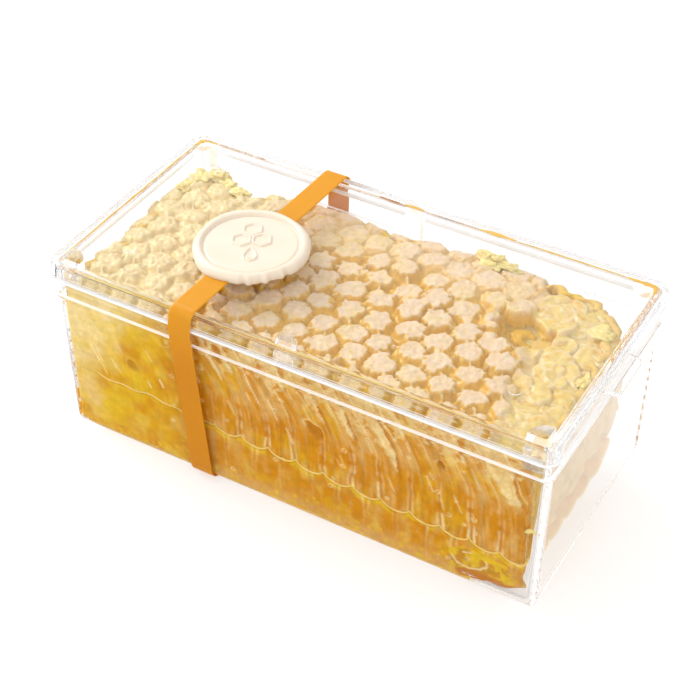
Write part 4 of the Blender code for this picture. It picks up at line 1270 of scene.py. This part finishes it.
def ribbon_mesh():
    half = RIBBON_WIDTH / 2
    across = np.linspace(-half + 0.5, half - 0.5, 7)
    section = [(-half, SELVEDGE), (-half + SELVEDGE, 0.0)] + [(x, 0.0) for x in across]
    section += [(half - SELVEDGE, 0.0), (half, SELVEDGE), (half, RIBBON_THICK - SELVEDGE)]
    section += [(half - SELVEDGE, RIBBON_THICK)] + [(x, RIBBON_THICK) for x in across[::-1]]
    section += [(-half + SELVEDGE, RIBBON_THICK), (-half, RIBBON_THICK - SELVEDGE)]
    rings = np.array([[(x + out, y + up * math.cos(a), z + up * math.sin(a)) for out, up in section]
                      for x, y, z, a in ribbon_stations()])
    index = np.arange(len(rings) * len(section)).reshape(len(rings), -1)
    ahead = np.roll(index, -1, axis=1)
    faces = np.stack([index, ahead, np.roll(ahead, -1, axis=0), np.roll(index, -1, axis=0)], -1)
    return rings.reshape(-1, 3), faces.reshape(-1, 4).tolist()


def satin_material():
    """Satin: fine threads across the ribbon give it a soft sheen, and painted light makes its colour lighter
    towards its top.
    """
    material, tree, shader = new_material("amber_satin")
    place = add_node(tree, "TexCoord").outputs["Object"]
    threads = add_node(
        tree, "TexWave", {"Vector": place, "Scale": 1400.0, "Distortion": 1.0},
        wave_type="BANDS", bands_direction="X").outputs["Fac"]
    tone = add_effect(tree, CLOUDY_TONE, {
        "Light": (0.56, 0.21, 0.0), "Dark": (0.60, 0.235, 0.001), "Scale": 60.0})
    # Painted light: the base colour gets lighter towards the ribbon's top.
    height = add_node(tree, "SeparateXYZ", {0: place}).outputs["Z"]
    feed(tree, shader, {
        "Base Color": tint(tree, tone["Colour"], (0.68, 0.30, 0.008), span(tree, height, 0.030, 0.046)),
        "Roughness": 0.4, "Specular IOR Level": 0.3, "Subsurface Weight": 0.5,
        "Subsurface Radius": (1.0, 0.7, 0.4), "Subsurface Scale": 0.001})
    bump(tree, shader, threads, 0.15, 0.0001)
    return material


ribbon = turned(*ribbon_mesh(), "satin_ribbon", satin_material(), sharp=60)
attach(ribbon, "root")
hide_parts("ribbon")


# Seal ------------------------------------------------------------------------------------------------
# Ivory sealing wax poured over the ribbon and pressed with a round brass die: a soft uneven rim, runs
# of wax at the lower right, and three cells with a drop of honey standing in low relief.
SEAL_CENTRE = (-21.2, -4.8)
SEAL_FOOT = BOX_HEIGHT + SEAT_GAP
SEAL_TOP = SEAL_FOOT + 2.0
DIE_FLOOR = SEAL_TOP - 0.62
DIE_TURN = 0.5            # radians
SEAL_POINTS = 300
# radius, height, and how much of the rim's unevenness that ring has
SEAL_PROFILE = [
    (11.3, SEAL_FOOT, 1.0), (11.75, SEAL_FOOT + 0.1, 1.0), (11.85, SEAL_FOOT + 0.5, 1.0),
    (11.8, SEAL_FOOT + 0.9, 0.9), (11.6, SEAL_FOOT + 1.35, 0.8), (11.25, SEAL_FOOT + 1.75, 0.6),
    (10.8, SEAL_TOP - 0.04, 0.4), (10.4, SEAL_TOP - 0.02, 0.25), (10.1, SEAL_TOP - 0.12, 0.15),
    (9.9, SEAL_TOP - 0.32, 0.0), (9.75, SEAL_TOP - 0.72, 0.0), (9.55, SEAL_TOP - 0.88, 0.0),
    (9.35, SEAL_TOP - 0.80, 0.0), (9.2, DIE_FLOOR, 0.0),
]
DROP = [(0.0, -1.2), (-0.9, -2.9), (-1.35, -4.1), (-1.0, -5.2), (0.0, -5.7), (1.0, -5.2), (1.35, -4.1),
        (0.9, -2.9), (0.0, -1.2)]
DROP_GLINT = [(-0.55, -4.2), (-0.45, -4.7), (-0.05, -5.0)]


def cell_relief(x, y):
    """Three cells of comb and a drop of honey under them, as the die leaves them."""
    relief = 0.8 * stroke(x, y, DROP_GLINT, 0.25)
    for centre in ((-2.05, 1.2), (2.05, 1.2), (0.0, 4.75)):
        relief = np.maximum(relief, stroke(x, y, arc(centre, 2.0, 30, 390, 6), 0.42))
    return np.maximum(relief, stroke(x, y, DROP, 0.38))


def seal_mesh():
    angle = np.linspace(0, 2 * math.pi, SEAL_POINTS, endpoint=False)
    uneven = 0.22 * np.sin(3 * angle + 0.7) + 0.13 * np.sin(7 * angle + 2.0)
    drips = ramp(np.cos(angle - math.radians(-42)), 0.72, 0.95)
    uneven = uneven + drips * (0.22 * np.sin(23 * angle) + 0.12 * np.sin(41 * angle + 1))
    rings = []
    for radius, level, share in SEAL_PROFILE:
        reach = radius + share * uneven
        lumps = share * 0.10 * np.sin(5 * angle + 1.2) * (level > SEAL_FOOT + 0.2)
        rings.append(np.stack([reach * np.cos(angle), reach * np.sin(angle), level + lumps], -1))
    for radius in np.linspace(9.05, 0.12, 76):
        x, y = radius * np.cos(angle), radius * np.sin(angle)
        die_x = x * math.cos(DIE_TURN) + y * math.sin(DIE_TURN)
        die_y = y * math.cos(DIE_TURN) - x * math.sin(DIE_TURN)
        level = DIE_FLOOR + 0.36 * cell_relief(die_x, die_y) + 0.02 * lattice_noise(x, y, 0, 2.0, 51)
        rings.append(np.stack([x, y, level], -1))
    rings = np.array(rings)
    rings[..., 2] = np.minimum(rings[..., 2], SEAL_TOP)
    rings[..., :2] += SEAL_CENTRE
    return skin(rings)


def seal_material():
    """Ivory sealing wax with a faint pearl sheen."""
    material, tree, shader = new_material("ivory_wax")
    tone = add_effect(tree, CLOUDY_TONE, {
        "Light": (0.86, 0.75, 0.62), "Dark": (0.80, 0.68, 0.53), "Scale": 220.0})
    feed(tree, shader, {
        "Base Color": tone["Colour"], "Roughness": 0.32, "Coat Weight": 0.25, "Coat Roughness": 0.2,
        "Subsurface Weight": 0.2, "Subsurface Radius": (1.0, 0.8, 0.6), "Subsurface Scale": 0.0015})
    bump(tree, shader, tone["Cloud"], 0.08, 0.0003)
    return material


seal = turned(*seal_mesh(), "wax_seal", seal_material())
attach(seal, "root")
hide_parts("seal")
